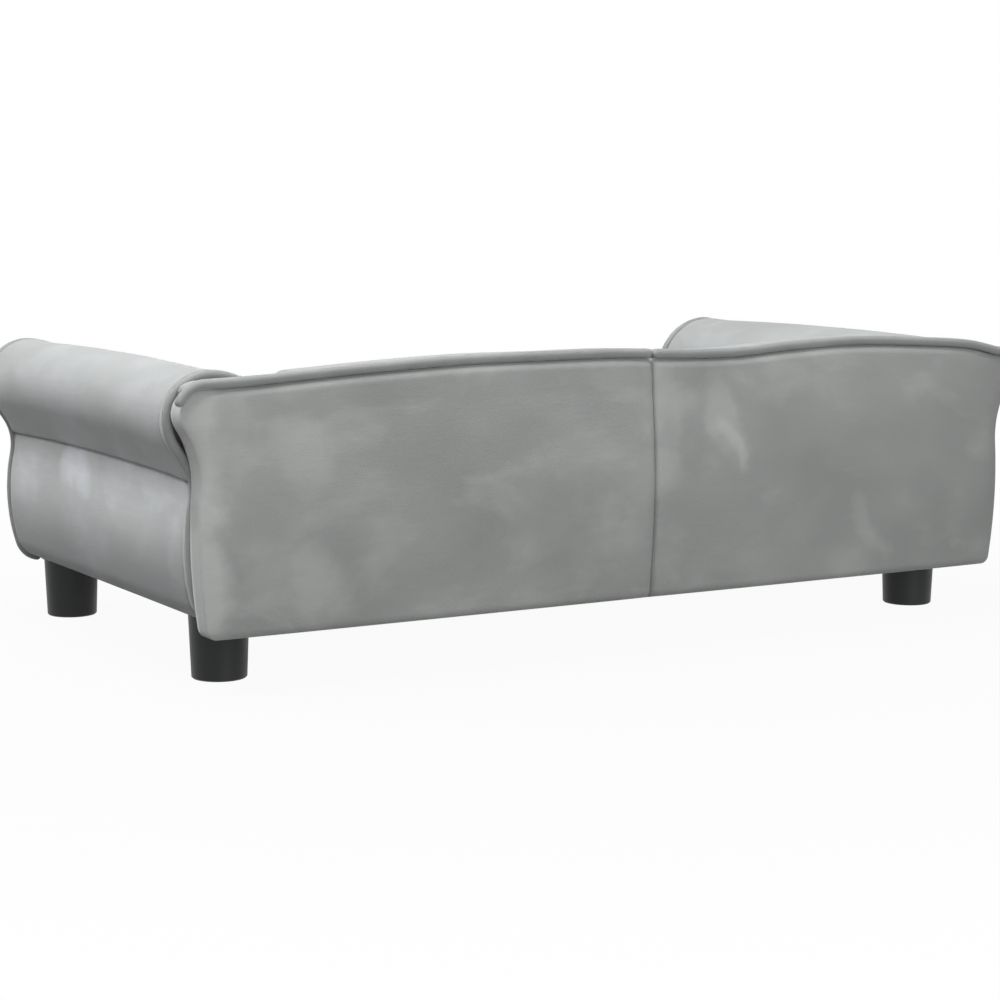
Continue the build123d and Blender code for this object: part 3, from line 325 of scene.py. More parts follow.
def tape_weave(name, dark, pale):
    """Narrow woven tape: ribs 1.1 mm apart across its length."""
    material, tree, place = new_material(name)
    wave = add(tree, "ShaderNodeTexWave", {"Vector": place, "Scale": 285.0, "Distortion": 0.6})
    ribs = wave.outputs["Fac"]
    return finished(material, {
        "Base Color": laid_over(tree, colour(dark), (ribs, 1.0, pale)), "Roughness": 0.85,
        "Normal": add(tree, "ShaderNodeBump", {"Height": ribs, "Distance": 0.0002, "Strength": 0.6}),
    })


LINING = nonwoven("black_nonwoven", "#151516", "#262627")  # pressed polypropylene lining
PLASTIC = moulded("black_plastic", "#0f1113", "#17191b")  # polypropylene legs
PLYWOOD = timber("plywood", "#a98358", "#cfae7e", "X", 0.02)  # birch plywood boards
PINE_X = timber("pine_along_x", "#b98c55", "#dcbc85", "X", 0.012)  # pine rails
PINE_Y = timber("pine_along_y", "#b98c55", "#dcbc85", "Y", 0.012)  # pine rails and battens
STEEL = metal("zinc_steel", "#b9bcbf", 0.38)  # zinc-plated studs, tee nuts and screws
ZIP_METAL = metal("zip_enamel", "#6c6e6f", 0.45)  # slider and stops
ZIP_TAPE = tape_weave("zip_tape_weave", "#6a6c6b", "#7c7e7d")  # woven polyester tape
ZIP_TEETH = moulded("zip_teeth", "#7a7c7b", "#858786")  # nylon teeth
print("materials:", len(bpy.data.materials))

# %% [markdown]
# ## Floor, light and background
# The background is white, as in the photograph. The floor is a pale matt plane; the camera sees it
# mostly as white, so that only a faint shadow is left round the legs. Four large lamps stand in for
# the studio: one overhead, one behind the sofa where the camera is, and weak ones beside and in front.

# %% Stage and light
FLOOR_SIZE = 40.0
WHITE_NEAR, WHITE_FAR = 0.95, 1.0  # how much of the floor the camera sees as plain white
NEAR, FAR = 0.45, 1.3  # metres from the middle at which these two hold
WORLD_LEVEL = 0.16


def white_for_camera(tree):
    """1 where the ray comes from the camera, a mirror or a glass, and 0 for light."""
    path = add(tree, "ShaderNodeLightPath").outputs
    seen = add(tree, "ShaderNodeMath", {
        0: path["Is Camera Ray"], 1: path["Is Glossy Ray"],
    }, operation="MAXIMUM")
    return add(tree, "ShaderNodeMath", {0: seen, 1: path["Is Transmission Ray"]}, operation="MAXIMUM")


floor_mesh = bpy.data.meshes.new("floor")
half = FLOOR_SIZE / 2
floor_corners = [(-half, -half, 0), (half, -half, 0), (half, half, 0), (-half, half, 0)]
floor_mesh.from_pydata(floor_corners, [], [(0, 1, 2, 3)])
floor = bpy.data.objects.new("floor", floor_mesh)
bpy.context.collection.objects.link(floor)
floor_material, tree, place = new_material("pale_floor")
matt = add(tree, "ShaderNodeBsdfDiffuse", {"Color": colour("#8e8e8e")})
white = add(tree, "ShaderNodeEmission", {"Color": colour("#ffffff"), "Strength": 1.0})
away = add(tree, "ShaderNodeVectorMath", {0: place}, operation="LENGTH")
level = add(tree, "ShaderNodeMapRange", {
    "Value": away.outputs["Value"], "From Min": NEAR, "From Max": FAR,
    "To Min": WHITE_NEAR, "To Max": WHITE_FAR,
})
share = add(tree, "ShaderNodeMath", {0: white_for_camera(tree), 1: level}, operation="MULTIPLY")
blend = add(tree, "ShaderNodeMixShader", {0: share, 1: matt, 2: white})
add(tree, "ShaderNodeOutputMaterial", {"Surface": blend})
floor_mesh.materials.append(floor_material)
floor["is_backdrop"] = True

world = bpy.data.worlds.new("studio")
world.use_nodes = True
tree = world.node_tree
tree.nodes.clear()
dim = add(tree, "ShaderNodeBackground", {"Color": colour("#f4f6fa"), "Strength": WORLD_LEVEL})
seen = add(tree, "ShaderNodeBackground", {"Color": colour("#ffffff"), "Strength": 1.0})
choose = add(tree, "ShaderNodeMixShader", {0: white_for_camera(tree), 1: dim, 2: seen})
add(tree, "ShaderNodeOutputWorld", {"Surface": choose})
bpy.context.scene.world = world
bpy.context.scene.view_settings.view_transform = "Standard"


def softbox(name, place, aim, size, power):
    """A square lamp that points at a place."""
    data = bpy.data.lights.new(name, "AREA")
    data.shape, data.size, data.energy = "SQUARE", size, power
    lamp = bpy.data.objects.new(name, data)
    bpy.context.collection.objects.link(lamp)
    place = Vector(place)
    turn = (Vector(aim) - place).to_track_quat("-Z", "Y").to_matrix().to_4x4()
    lamp.matrix_world = Matrix.Translation(place) @ turn


softbox("overhead", (1.1, 0.1, 2.7), (0.1, 0.0, 0.1), 1.8, 108.0)
softbox("behind", (0.0, 3.0, 1.0), (0.0, 0.2, 0.15), 1.8, 44.0)
softbox("side", (2.3, 0.3, 1.9), (0.4, 0.0, 0.15), 1.2, 7.0)
softbox("front", (-1.2, -2.8, 1.2), (0.0, -0.2, 0.15), 1.6, 12.0)
print("stage and lamps are set")

# %% [markdown]
# ## Lines and arcs
# Upholstery follows its boards, and those are cut along straight lines and arcs. These helpers give
# points along such chains, in millimetres. Curve objects would do too, but lists of points can be
# counted, compared and joined row by row into a grid.

# %% Lines and arcs
SAME_PLACE = 0.05  # points closer than this are one


def along(first, last, count):
    """Numbers from the first to the last, in this many even steps."""
    return [first + (last - first) * i / count for i in range(count + 1)]


def polar(centre, radius, angle):
    """Point at a radius and an angle, in degrees, from a centre."""
    turn = math.radians(angle)
    return (centre[0] + radius * math.cos(turn), centre[1] + radius * math.sin(turn))


def arc(centre, radius, start, size, step=3.0):
    """Points along an arc, about one step apart."""
    count = max(3, round(abs(math.radians(size)) * radius / step))
    return [polar(centre, radius, start + size * i / count) for i in range(count + 1)]


def line(a, b, step=4.0):
    """Points along a straight line, about one step apart."""
    count = max(1, round(math.dist(a, b) / step))
    return [tuple(a[k] + (b[k] - a[k]) * i / count for k in (0, 1)) for i in range(count + 1)]


def joined(*runs):
    """One list of points from several runs, without the doubled points where they meet."""
    points = []
    for run in runs:
        points += [p for p in run if not points or math.dist(p, points[-1]) > SAME_PLACE]
    return points


def evened(points, step):
    """The same chain of points, evenly spaced at about a step, counted on its own length."""
    lengths = [0.0]
    for a, b in zip(points, points[1:]):
        lengths.append(lengths[-1] + math.dist(a, b))
    count = round(lengths[-1] / step)
    result, index = [], 0
    for k in range(count + 1):
        goal = lengths[-1] * k / count
        while index < len(points) - 2 and lengths[index + 1] < goal:
            index += 1
        t = (goal - lengths[index]) / (lengths[index + 1] - lengths[index])
        a, b = points[index], points[index + 1]
        result.append(tuple(p + (q - p) * t for p, q in zip(a, b)))
    return result


print("a quarter arc of radius 10:", len(arc((0.0, 0.0), 10.0, 0, 90)), "points")

# %% [markdown]
# ## Sections
# The arm's section is a chain of tangent arcs: up the seat side, over the roll, in under it to the
# neck, and out again over the bulge of the lower panel. The same sizes shape the CAD solids.

# %% Arm section
# millimetres and degrees: _R is a radius, _A an angle, _L a length, _X, _Y and _Z are places
ARM_X, ARM_TOP_Z, ARM_FOOT_Z, DECK_Z = 425.0, 282.5, 56.6, 119.0
INNER_R, ROLL_R, ROLL_END, NECK_R, SEAM_A = 67.0, 43.0, 33.0, 45.0, 13.0
UNDERCUT_L, BULGE_A, BULGE_R, FOOT_R, TUCK = 19.0, 12.0, 190.0, 28.0, 12.0
FRONT_DROP = 5.0  # how much lower the foot hangs at the front
ARM_FRONT_Y, ARM_REAR_Y = -249.3, 206.2
RISE_MIDDLE, RISE_REAR = 2.5, -3.0  # height of the scroll there, against its front end
CLOTH = 2.5
GAP = 0.3  # left between neighbouring pieces


def arm_arcs(rise, drop=0.0):
    """Centres of the section's arcs, and the angle at which the bulge gives way to the foot."""
    inner = (ARM_X, ARM_TOP_Z + rise - INNER_R)
    roll = (ARM_X, ARM_TOP_Z + rise - ROLL_R)
    undercut = polar(polar(roll, ROLL_R, -ROLL_END), UNDERCUT_L, -90 - ROLL_END)
    neck = polar(undercut, NECK_R, -ROLL_END)
    bulge = polar(neck, NECK_R + BULGE_R, 180 + BULGE_A)
    end = math.degrees(math.asin((bulge[1] - FOOT_R - ARM_FOOT_Z + drop) / (BULGE_R - FOOT_R)))
    foot = polar(bulge, BULGE_R - FOOT_R, -end)
    return inner, roll, neck, bulge, foot, end


def arm_upper(rise, inset=0.0, foot_z=DECK_Z + GAP):
    """Seat side, roll and undercut, from the deck to the seam, as points (x, z)."""
    inner, roll, neck, _, _, _ = arm_arcs(rise)
    face_x = ARM_X - INNER_R + inset
    return joined(
        line((face_x, foot_z), (face_x, inner[1])),
        arc(inner, INNER_R - inset, 180, -90),
        arc(roll, ROLL_R - inset, 90, -90 - ROLL_END),
        line(polar(roll, ROLL_R - inset, -ROLL_END), polar(neck, NECK_R + inset, 180 - ROLL_END)),
        arc(neck, NECK_R + inset, 180 - ROLL_END, ROLL_END - SEAM_A),
    )


def arm_lower(rise, inset=0.0, foot_angle=90.0, tuck=0.0, drop=0.0):
    """Lower panel, from the seam over its bulge and round the foot."""
    _, _, neck, bulge, foot, end = arm_arcs(rise, drop)
    runs = [
        arc(neck, NECK_R + inset, 180 - SEAM_A, SEAM_A + BULGE_A),
        arc(bulge, BULGE_R - inset, BULGE_A, -BULGE_A - end, 4.0),
        arc(foot, FOOT_R - inset, -end, end - foot_angle),
    ]
    if tuck:
        last = runs[-1][-1]
        runs.append(line(last, (last[0] - tuck, last[1])))
    return joined(*runs)


def rise_at(y):
    """How much higher the scroll stands at a place along the arm: a parabola through three ends."""
    t = (y - ARM_FRONT_Y) / (ARM_REAR_Y - ARM_FRONT_Y)
    return RISE_MIDDLE * 4 * t * (1 - t) + RISE_REAR * t * (2 * t - 1)


print("arm section points:", len(arm_upper(0)), "+", len(arm_lower(0)))

# %% [markdown]
# ## Making cloth
# A skin is a grid of points with a thickness. Each point may be pressed in along its normal, which
# is how a panel dips at a seam, gathers beside a welt, or sags a little between them. Sculpting or a
# cloth simulation could do that too. A grid is used because it keeps each edge where its neighbour is.


# %% Skins
def make_object(name, points, faces, material, body, replaced=(), smooth=True):
    """A finished piece at the origin, from points in millimetres."""
    mesh = bpy.data.meshes.new(name)
    mesh.from_pydata([(x * MM, y * MM, z * MM) for x, y, z in points], [], faces)
    mesh.validate()
    piece = bpy.data.objects.new(name, mesh)
    bpy.context.collection.objects.link(piece)
    mesh.materials.append(material)
    if smooth:
        mesh.polygons.foreach_set("use_smooth", [True] * len(mesh.polygons))
    if body:
        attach(piece, body)
    if replaced:
        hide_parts(*replaced)
    return piece


def grid_normals(grid):
    """Unit normals of a grid of points: the way from row to row crossed with the way along a row."""
    rows, columns = len(grid), len(grid[0])
    normals = []
    for i in range(rows):
        row = []
        for j in range(columns):
            onward = Vector(grid[min(i + 1, rows - 1)][j]) - Vector(grid[max(i - 1, 0)][j])
            across = Vector(grid[i][min(j + 1, columns - 1)]) - Vector(grid[i][max(j - 1, 0)])
            row.append(onward.cross(across).normalized())
        normals.append(row)
    return normals


def cells(rows, columns):
    """Numbers of each cell's four points in a grid: two in one row, then two in the next."""
    for i in range(rows - 1):
        for j in range(columns - 1):
            a = i * columns + j
            yield a, a + 1, a + columns, a + columns + 1


def grid_edge(rows, columns):
    """Numbers of the points round the edge of a grid, in order."""
    edge = list(range(columns))
    edge += [i * columns + columns - 1 for i in range(1, rows)]
    edge += [(rows - 1) * columns + j for j in range(columns - 2, -1, -1)]
    return edge + [i * columns for i in range(rows - 2, 0, -1)]


def unpressed(i, j, point):
    """For a skin that keeps the points of its grid."""
    return 0.0


def cloth_skin(name, grid, press, material, body, replaced, outward=1, thickness=CLOTH):
    """A skin over a grid: pressed in by press(i, j, point), and given its thickness inwards."""
    normals = grid_normals(grid)
    rows, columns = len(grid), len(grid[0])
    outer, inner = [], []
    for i in range(rows):
        for j in range(columns):
            point, normal = Vector(grid[i][j]), normals[i][j] * outward
            moved = point - normal * press(i, j, point)
            outer.append(moved)
            inner.append(moved - normal * thickness)
    total = rows * columns
    faces = []
    for a, b, c, d in cells(rows, columns):
        faces.append((a, c, d, b) if outward > 0 else (a, b, d, c))
        back = (a + total, b + total, d + total, c + total)
        faces.append(back if outward > 0 else back[::-1])
    edge = grid_edge(rows, columns)
    for a, b in zip(edge, edge[1:] + edge[:1]):
        faces.append((a, b, b + total, a + total) if outward > 0 else (b, a, a + total, b + total))
    return make_object(name, [tuple(p) for p in outer + inner], faces, material, body, replaced)


def baked(piece):
    """Applies what modifiers a piece has and keeps its material."""
    evaluated = piece.evaluated_get(bpy.context.evaluated_depsgraph_get())
    mesh = bpy.data.meshes.new_from_object(evaluated)
    material = piece.data.materials[0]
    piece.modifiers.clear()
    old = piece.data
    piece.data = mesh
    mesh.name = piece.name
    mesh.materials.clear()
    mesh.materials.append(material)
    mesh.polygons.foreach_set("use_smooth", [True] * len(mesh.polygons))
    bpy.data.meshes.remove(old)
    return piece


def remeshed(piece, voxel):
    """The piece with even quads of this size, in metres, as a plain mesh."""
    modifier = piece.modifiers.new("even", "REMESH")
    modifier.mode, modifier.voxel_size = "VOXEL", voxel
    return baked(piece)


def thickened(piece, thickness):
    """The piece, an open sheet, with this thickness behind its outer side."""
    modifier = piece.modifiers.new("cloth", "SOLIDIFY")
    modifier.thickness, modifier.offset = thickness * MM, -1.0
    return baked(piece)


def absorb(piece, extra):
    """Makes a second mesh part of the piece: the same cloth, turned in or sewn on."""
    both = bmesh.new()
    both.from_mesh(piece.data)
    both.from_mesh(extra.data)
    both.to_mesh(piece.data)
    both.free()
    bpy.data.objects.remove(extra)


print("skin helpers ready")

# %% [markdown]
# ## Welts
# A welt is a strip of velvet sewn round a cord. It is built as a tube along a route, with rounded
# ends. Its girth wavers slightly, as a sewn cord's does, which a bevelled curve would not show.

# %% Welts
WELT_RING = 14  # points round a welt
WAVER, WAVERS_PER_MM = 0.12, 0.11
CAP_TURNS = (0.25, 0.7, 1.15)  # radians from the equator of a welt's round end


def tube(name, route, radius, material, body, replaced, closed=False):
    """A cord-filled welt along a route, with rounded ends and a slightly uneven girth."""
    route = [Vector(p) for p in route]
    count = len(route)
    side = None
    rings = []
    for i, point in enumerate(route):
        if closed:
            ahead, behind = route[(i + 1) % count], route[i - 1]
        else:
            ahead, behind = route[min(i + 1, count - 1)], route[max(i - 1, 0)]
        forward = (ahead - behind).normalized()
        side = forward.orthogonal() if side is None else side - forward * side.dot(forward)
        side.normalize()
        rings.append((point, forward, side.copy()))
    if not closed:
        caps = [(math.cos(turn), math.sin(turn)) for turn in CAP_TURNS]
        (point, forward, first), (end, end_forward, last) = rings[0], rings[-1]
        start_rings = [(point + forward * radius * (1 - s), forward, first, c) for c, s in caps[::-1]]
        end_rings = [(end - end_forward * radius * (1 - s), end_forward, last, c) for c, s in caps]
        inside = [r for r in rings if min((r[0] - point).length, (r[0] - end).length) > radius]
        rings = start_rings + [r + (1.0,) for r in inside] + end_rings
    else:
        rings = [r + (1.0,) for r in rings]
    points = []
    for point, forward, first, share in rings:
        second = forward.cross(first)
        swell = WAVER * noise.noise(point * WAVERS_PER_MM)
        for k in range(WELT_RING):
            turn = 2 * math.pi * k / WELT_RING
            reach = (radius - WAVER + swell) * share
            points.append(tuple(point + (first * math.cos(turn) + second * math.sin(turn)) * reach))
    faces = []
    last = len(rings)
    for i in range(last if closed else last - 1):
        near, far = i * WELT_RING, (i + 1) % last * WELT_RING
        for k in range(WELT_RING):
            beside = (k + 1) % WELT_RING
            faces.append((near + k, near + beside, far + beside, far + k))
    if not closed:
        faces.append(tuple(range(WELT_RING))[::-1])
        faces.append(tuple((last - 1) * WELT_RING + k for k in range(WELT_RING)))
    return make_object(name, points, faces, material, body, replaced)


print("welts have", WELT_RING, "points round them")


# %% [markdown]
# ## Softness
# Three small measures make padding look soft: a shoulder at an edge, smooth noise for hollows, and
# the same noise dying away from a seam, for gathers.

# %% Softness
def ease(distance, reach):
    """1 at an edge, falling to 0 at a distance from it, as a rounded shoulder."""
    if distance >= reach:
        return 0.0
    return 1 - math.sqrt(1 - (1 - max(0.0, distance) / reach) ** 2)


def soft_noise(point, size, seed=0.0):
    """Smooth noise from -1 to 1 with features of about this many millimetres."""
    return noise.noise(Vector(point) / size + Vector((seed, seed * 0.7, seed * 1.3)))


def gathered(place, size, seed, distance, reach):
    """Smooth noise that is strong at a seam and dies away at a distance from it."""
    return math.exp(-distance / reach) * soft_noise(place, size, seed)


SIDES = (("right", 1), ("left", -1))
fading = [round(gathered((5, 5, 5), 9.0, 1.0, distance, 10.0), 3) for distance in (0, 10)]
print("a gather at its seam and 10 mm away:", fading)

# %% [markdown]
# ## Arms
# The cover rolls over the top and is sewn to the lower panel under the roll, where both tuck in.
# Both end a few millimetres short of the welts, and round over towards them. In front of the seat's
# rail a narrow return of the cover goes on down the arm's board.

# %% Arm covers and side panels
ARM_STATIONS, SKIN_STEP, ARM_CLOTH = 96, 3.0, 2.3
TURNED_IN = (1.2, 4.0, 8.0, 12.0, 16.0)  # the covers are stapled to the end boards through this hem
RETURN_REAR_Y, RETURN_FOOT_Z = -234.6, 61.0
# how deep the velvet is pressed in, and how far from that line: at the welts, over and under the seam
WELT_DIP, UPPER_SEAM_DIP, LOWER_SEAM_DIP = (1.9, 5.5), (2.6, 8.0), (4.4, 15.0)
GATHER_DEPTH, PULL_DEPTH, SAG_DEPTH = 0.32, 0.45, 0.5
SAT_DOWN, SAT_DOWN_BELOW, SAT_DOWN_FROM_END = 2.4, 30.0, 40.0  # the roll's top is a little flattened


def arm_rows(section, side):
    """Sections along the arm, each with as many points as the others, and turned in at both ends."""
    columns = len(evened(section(0.0, 0.0), SKIN_STEP)) - 1
    places = [(ARM_FRONT_Y, inset) for inset in TURNED_IN[::-1]]
    places += [(y, 0.0) for y in along(ARM_FRONT_Y, ARM_REAR_Y, ARM_STATIONS)]
    places += [(ARM_REAR_Y, inset) for inset in TURNED_IN]
    rows = []
    for y, inset in places:
        points = section(rise_at(y), inset)
        length = sum(math.dist(a, b) for a, b in zip(points, points[1:]))
        rows.append([(side * x, y, z) for x, z in evened(points, length / columns)])
    return rows


def arm_press(grid, seam_first, seed):
    """How far each point of an arm's skin is pressed in: at the welts, at the seam, and at random."""
    columns = len(grid[0])
    first_row = grid[len(TURNED_IN)]
    lengths = [0.0]
    for j in range(1, columns):
        lengths.append(lengths[-1] + math.dist(first_row[j], first_row[j - 1]))
    seam_depth, seam_reach = LOWER_SEAM_DIP if seam_first else UPPER_SEAM_DIP

    def press(i, j, point):
        to_end = min(point[1] - ARM_FRONT_Y, ARM_REAR_Y - point[1])
        to_seam = lengths[j] if seam_first else lengths[-1] - lengths[j]
        depth = WELT_DIP[0] * ease(to_end, WELT_DIP[1]) + seam_depth * ease(to_seam, seam_reach)
        gathers = gathered((lengths[j], to_end * 0.25, 0), 9.0, seed, to_end, 16.0)
        pulls = gathered((point[1], to_seam * 0.3, 0), 22.0, seed + 5, to_seam, 18.0)
        sag = 0.5 + 0.5 * soft_noise(point, 90.0, seed + 9)
        below_top = ARM_TOP_Z + rise_at(point[1]) - point[2]
        sat_down = SAT_DOWN * max(0.0, 1 - below_top / SAT_DOWN_BELOW)
        sat_down *= min(1.0, max(0.0, to_end) / SAT_DOWN_FROM_END)
        return depth + GATHER_DEPTH * abs(gathers) + PULL_DEPTH * abs(pulls) + SAG_DEPTH * sag + sat_down

    return press


for side_name, side in SIDES:
    grid = arm_rows(arm_upper, side)
    cover = cloth_skin(
        f"arm_cover_velvet_{side_name}", grid, arm_press(grid, False, 3.1 + side), VELVET_ARM, "sofa",
        (f"arm_cover_{side_name}", f"arm_foam_{side_name}"), -side, ARM_CLOTH,
    )
    face_x = side * (ARM_X - INNER_R + GAP)
    heights = along(RETURN_FOOT_Z, DECK_Z + 1.0, 10)
    grid = [[(face_x, y, z) for z in heights] for y in along(ARM_FRONT_Y + GAP, RETURN_REAR_Y, 5)]
    absorb(cover, cloth_skin("return", grid, unpressed, VELVET_ARM, None, (), side, 2.0))
    grid = arm_rows(lambda rise, inset: arm_lower(rise, inset, tuck=TUCK), side)
    panel = cloth_skin(
        f"side_panel_velvet_{side_name}", grid, arm_press(grid, True, 7.7 + side), VELVET_SIDE, "sofa",
        (f"side_panel_{side_name}",), -side, ARM_CLOTH,
    )
print("arm covers and side panels made")

# %% [markdown]
# ## Arm ends
# A padded facing closes the front of each arm. It is a flat slab with a fine even mesh, whose front
# is then drawn back towards its rim: such a scroll shape has no tidy grid, so it is remeshed instead.
# A welt runs round both ends of the arm, from the deck over the roll and down to the foot.

# %% Facings and arm welts
WELT_R = 4.5
WELT_IN = WELT_R - GAP
FACING_IN = WELT_IN + WELT_R + GAP
FACING_FOOT_Z, FACING_DEPTH, FACING_GAP = 51.5, 12.2, 0.6
FACING_VOXEL = 0.0032  # metres
FACING_RIM, RIM_DROP = 16.0, 0.92  # width of the rim, and the share of the depth that is lost there
FRONT_FOOT_ANGLE, REAR_FOOT_ANGLE = 87.8, 84.0
REAR_WELT_Y, FRONT_WELT_Y = 210.85, ARM_FRONT_Y - WELT_R - GAP


def facing_outline(inset):
    """Closed outline of the facing, seen from the front, in even steps."""
    upper = arm_upper(0.0, inset, FACING_FOOT_Z + inset - FACING_IN)
    lower = arm_lower(0.0, inset, FRONT_FOOT_ANGLE, drop=FRONT_DROP)
    corner = (lower[-1][0], FACING_FOOT_Z + inset - FACING_IN)
    return joined(upper, lower, line(lower[-1], corner), line(corner, upper[0]))[:-1]


def distance_to(outline, point):
    """Shortest distance from a point to a closed outline."""
    best = 1e9
    for a, b in zip(outline, outline[1:] + outline[:1]):
        dx, dz = b[0] - a[0], b[1] - a[1]
        length = dx * dx + dz * dz or 1e-9
        t = max(0.0, min(1.0, ((point[0] - a[0]) * dx + (point[1] - a[1]) * dz) / length))
        best = min(best, math.hypot(point[0] - a[0] - t * dx, point[1] - a[1] - t * dz))
    return best


outline = facing_outline(FACING_IN)
count = len(outline)
back_y, front_y = ARM_FRONT_Y - FACING_GAP, ARM_FRONT_Y - FACING_DEPTH
for side_name, side in SIDES:
    points = [(side * x, back_y, z) for x, z in outline] + [(side * x, front_y, z) for x, z in outline]
    faces = [(k, (k + 1) % count, (k + 1) % count + count, k + count) for k in range(count)]
    faces += [tuple(range(count))[::-1], tuple(range(count, 2 * count))]
    if side < 0:
        faces = [face[::-1] for face in faces]
    facing = make_object(
        f"arm_facing_velvet_{side_name}", points, faces, VELVET_ARM, "sofa", (f"arm_facing_{side_name}",)
    )
    facing = remeshed(facing, FACING_VOXEL)
    for vertex in facing.data.vertices:
        x, y, z = (c / MM for c in vertex.co)
        to_edge = distance_to(outline, (side * x, z))
        front_share = (back_y - y) / (back_y - front_y)
        crown = (FACING_DEPTH - FACING_GAP) * (1 - RIM_DROP * ease(to_edge, FACING_RIM))
        gathers = abs(gathered((x, 0, z), 7.0, 2.0, to_edge, 10.0))
        vertex.co.y = (back_y - max(0.0, min(1.0, front_share)) * (crown - 0.5 * gathers)) * MM

    welt_ends = (
        ("front", FRONT_WELT_Y, FACING_FOOT_Z + WELT_R, 0.0, FRONT_DROP, FRONT_FOOT_ANGLE),
        ("rear", REAR_WELT_Y, DECK_Z + GAP, RISE_REAR, 0.0, REAR_FOOT_ANGLE),
    )
    for end_name, end_y, foot_z, rise, drop, foot_angle in welt_ends:
        lower = arm_lower(rise, WELT_IN, foot_angle, drop=drop)
        section = joined(arm_upper(rise, WELT_IN, foot_z), lower)
        welt = tube(
            f"arm_{end_name}_welt_velvet_{side_name}", [(side * x, end_y, z) for x, z in section], WELT_R,
            VELVET_WELT_SHADED, "sofa", (f"arm_{end_name}_welt_{side_name}",),
        )
print("facings and arm welts made")

# %% [markdown]
# ## The wavy back
# One curve shapes the back's top: two gentle humps and a dip beside the centre seam. It is written
# as pairs, a share of the half width and a share of the wave's height, with a smooth curve between.

# %% Wave and rear outline
REAR_HALF_X, REAR_TOP_Z, REAR_FOOT_Z = 440.5, 265.0, 48.5
CORNER_R, HOLLOW_R, REAR_BULGE_A, REAR_BULGE_R, REAR_FOOT_R = 22.0, 90.0, 4.7, 500.0, 9.0
REAR_Y, REAR_DEPTH, BOARD_FRONT_Y = 236.0, 18.5, 215.8
SEAM_X, BACK_WELT_Y = -13.0, 240.2
WAVE_H = 16.0
WAVE = (
    (-1.0, 0.0), (-0.92, 0.47), (-0.8, 0.74), (-0.57, 1.0), (-0.4, 0.84), (-0.25, 0.58), (-0.1, 0.62),
    (0.06, 0.8), (0.26, 0.8), (0.44, 0.75), (0.65, 0.5), (0.8, 0.26), (0.9, 0.09), (1.0, 0.0),
)


def crest(x):
    """Height of the seam along the back's top."""
    share = max(-1.0, min(1.0, x / REAR_HALF_X))
    index = max(i for i in range(len(WAVE) - 1) if WAVE[i][0] <= share)
    (x0, z0), (x1, z1) = WAVE[index], WAVE[index + 1]

    def slope(i):
        before, after = WAVE[max(i - 1, 0)], WAVE[min(i + 1, len(WAVE) - 1)]
        return (after[1] - before[1]) / (after[0] - before[0])

    span = x1 - x0
    t = (share - x0) / span
    rise = (2 * t**3 - 3 * t**2 + 1) * z0 + (3 * t**2 - 2 * t**3) * z1
    rise += (t**3 - 2 * t**2 + t) * span * slope(index) + (t**3 - t**2) * span * slope(index + 1)
    return REAR_TOP_Z + WAVE_H * rise


CORNER_C = (REAR_HALF_X, REAR_TOP_Z - CORNER_R)
HOLLOW_C = polar(CORNER_C, CORNER_R + HOLLOW_R, -ROLL_END)
REAR_BULGE_C = polar(HOLLOW_C, HOLLOW_R + REAR_BULGE_R, 180 + REAR_BULGE_A)
BETWEEN_R = REAR_BULGE_R - REAR_FOOT_R  # from the bulge's centre to that of the arc at the foot
REAR_END_A = math.degrees(math.asin((REAR_BULGE_C[1] - REAR_FOOT_R - REAR_FOOT_Z) / BETWEEN_R))
REAR_FOOT_C = polar(REAR_BULGE_C, BETWEEN_R, -REAR_END_A)
SIDE_EDGE = joined(
    arc(CORNER_C, CORNER_R, 90, -90 - ROLL_END, 1.0),
    arc(HOLLOW_C, HOLLOW_R, 180 - ROLL_END, ROLL_END + REAR_BULGE_A, 2.0),
    arc(REAR_BULGE_C, REAR_BULGE_R, REAR_BULGE_A, -REAR_BULGE_A - REAR_END_A, 3.0),
    arc(REAR_FOOT_C, REAR_FOOT_R, -REAR_END_A, REAR_END_A - 90, 1.0),
)


def side_x(z):
    """Where the rear's side edge is at a height."""
    for (x0, z0), (x1, z1) in zip(SIDE_EDGE, SIDE_EDGE[1:]):
        if z1 <= z <= z0:
            return x0 + (x1 - x0) * (z0 - z) / max(z0 - z1, 1e-9)
    return SIDE_EDGE[0][0] if z > SIDE_EDGE[0][1] else SIDE_EDGE[-1][0]


print("side edge points:", len(SIDE_EDGE), "crest at the middle:", round(crest(0), 2))

# %% [markdown]
# ## Rear halves
# Each rear half is a soft panel that rounds over quickly at its rim and is drawn in a little at the
# seam. Its border goes round the board's edge, and at the foot the hem is turned up in front of the
# board. The grid is finer near the rims, where the form turns fastest.

# %% Rear halves
ACROSS, UPWARD = 120, 84
SIDE_REACH, LEVEL_REACH, CROWN_REACH = 34.0, 8.0, 110.0
RIM_SHARE = 0.55  # share of the pad's depth that its rim gives, the rest is a slow crown
GROOVE, TROUGH = (5.0, 2.6), (1.3, 38.0)  # depth and reach of the narrow and the wide dip at the seam
BORDER_YS = (232.0, 226.0, 220.0, BOARD_FRONT_Y)
HEM_Y, HEM_TOP_Z, HEM_TOP_AT_ARM_Z = 212.7, 59.0, 56.0
REAR_CLOTH = 2.2


def spaced(count):
    """Shares from 0 to 1, closer together near both ends."""
    return [(1 - math.cos(math.pi * i / count)) / 2 for i in range(count + 1)]


def rim(distance, reach):
    """0 at an edge, 1 from a distance on, round like the rim of a pad."""
    share = min(1.0, max(0.0, distance / reach))
    return math.sqrt(1 - (1 - share) ** 2)


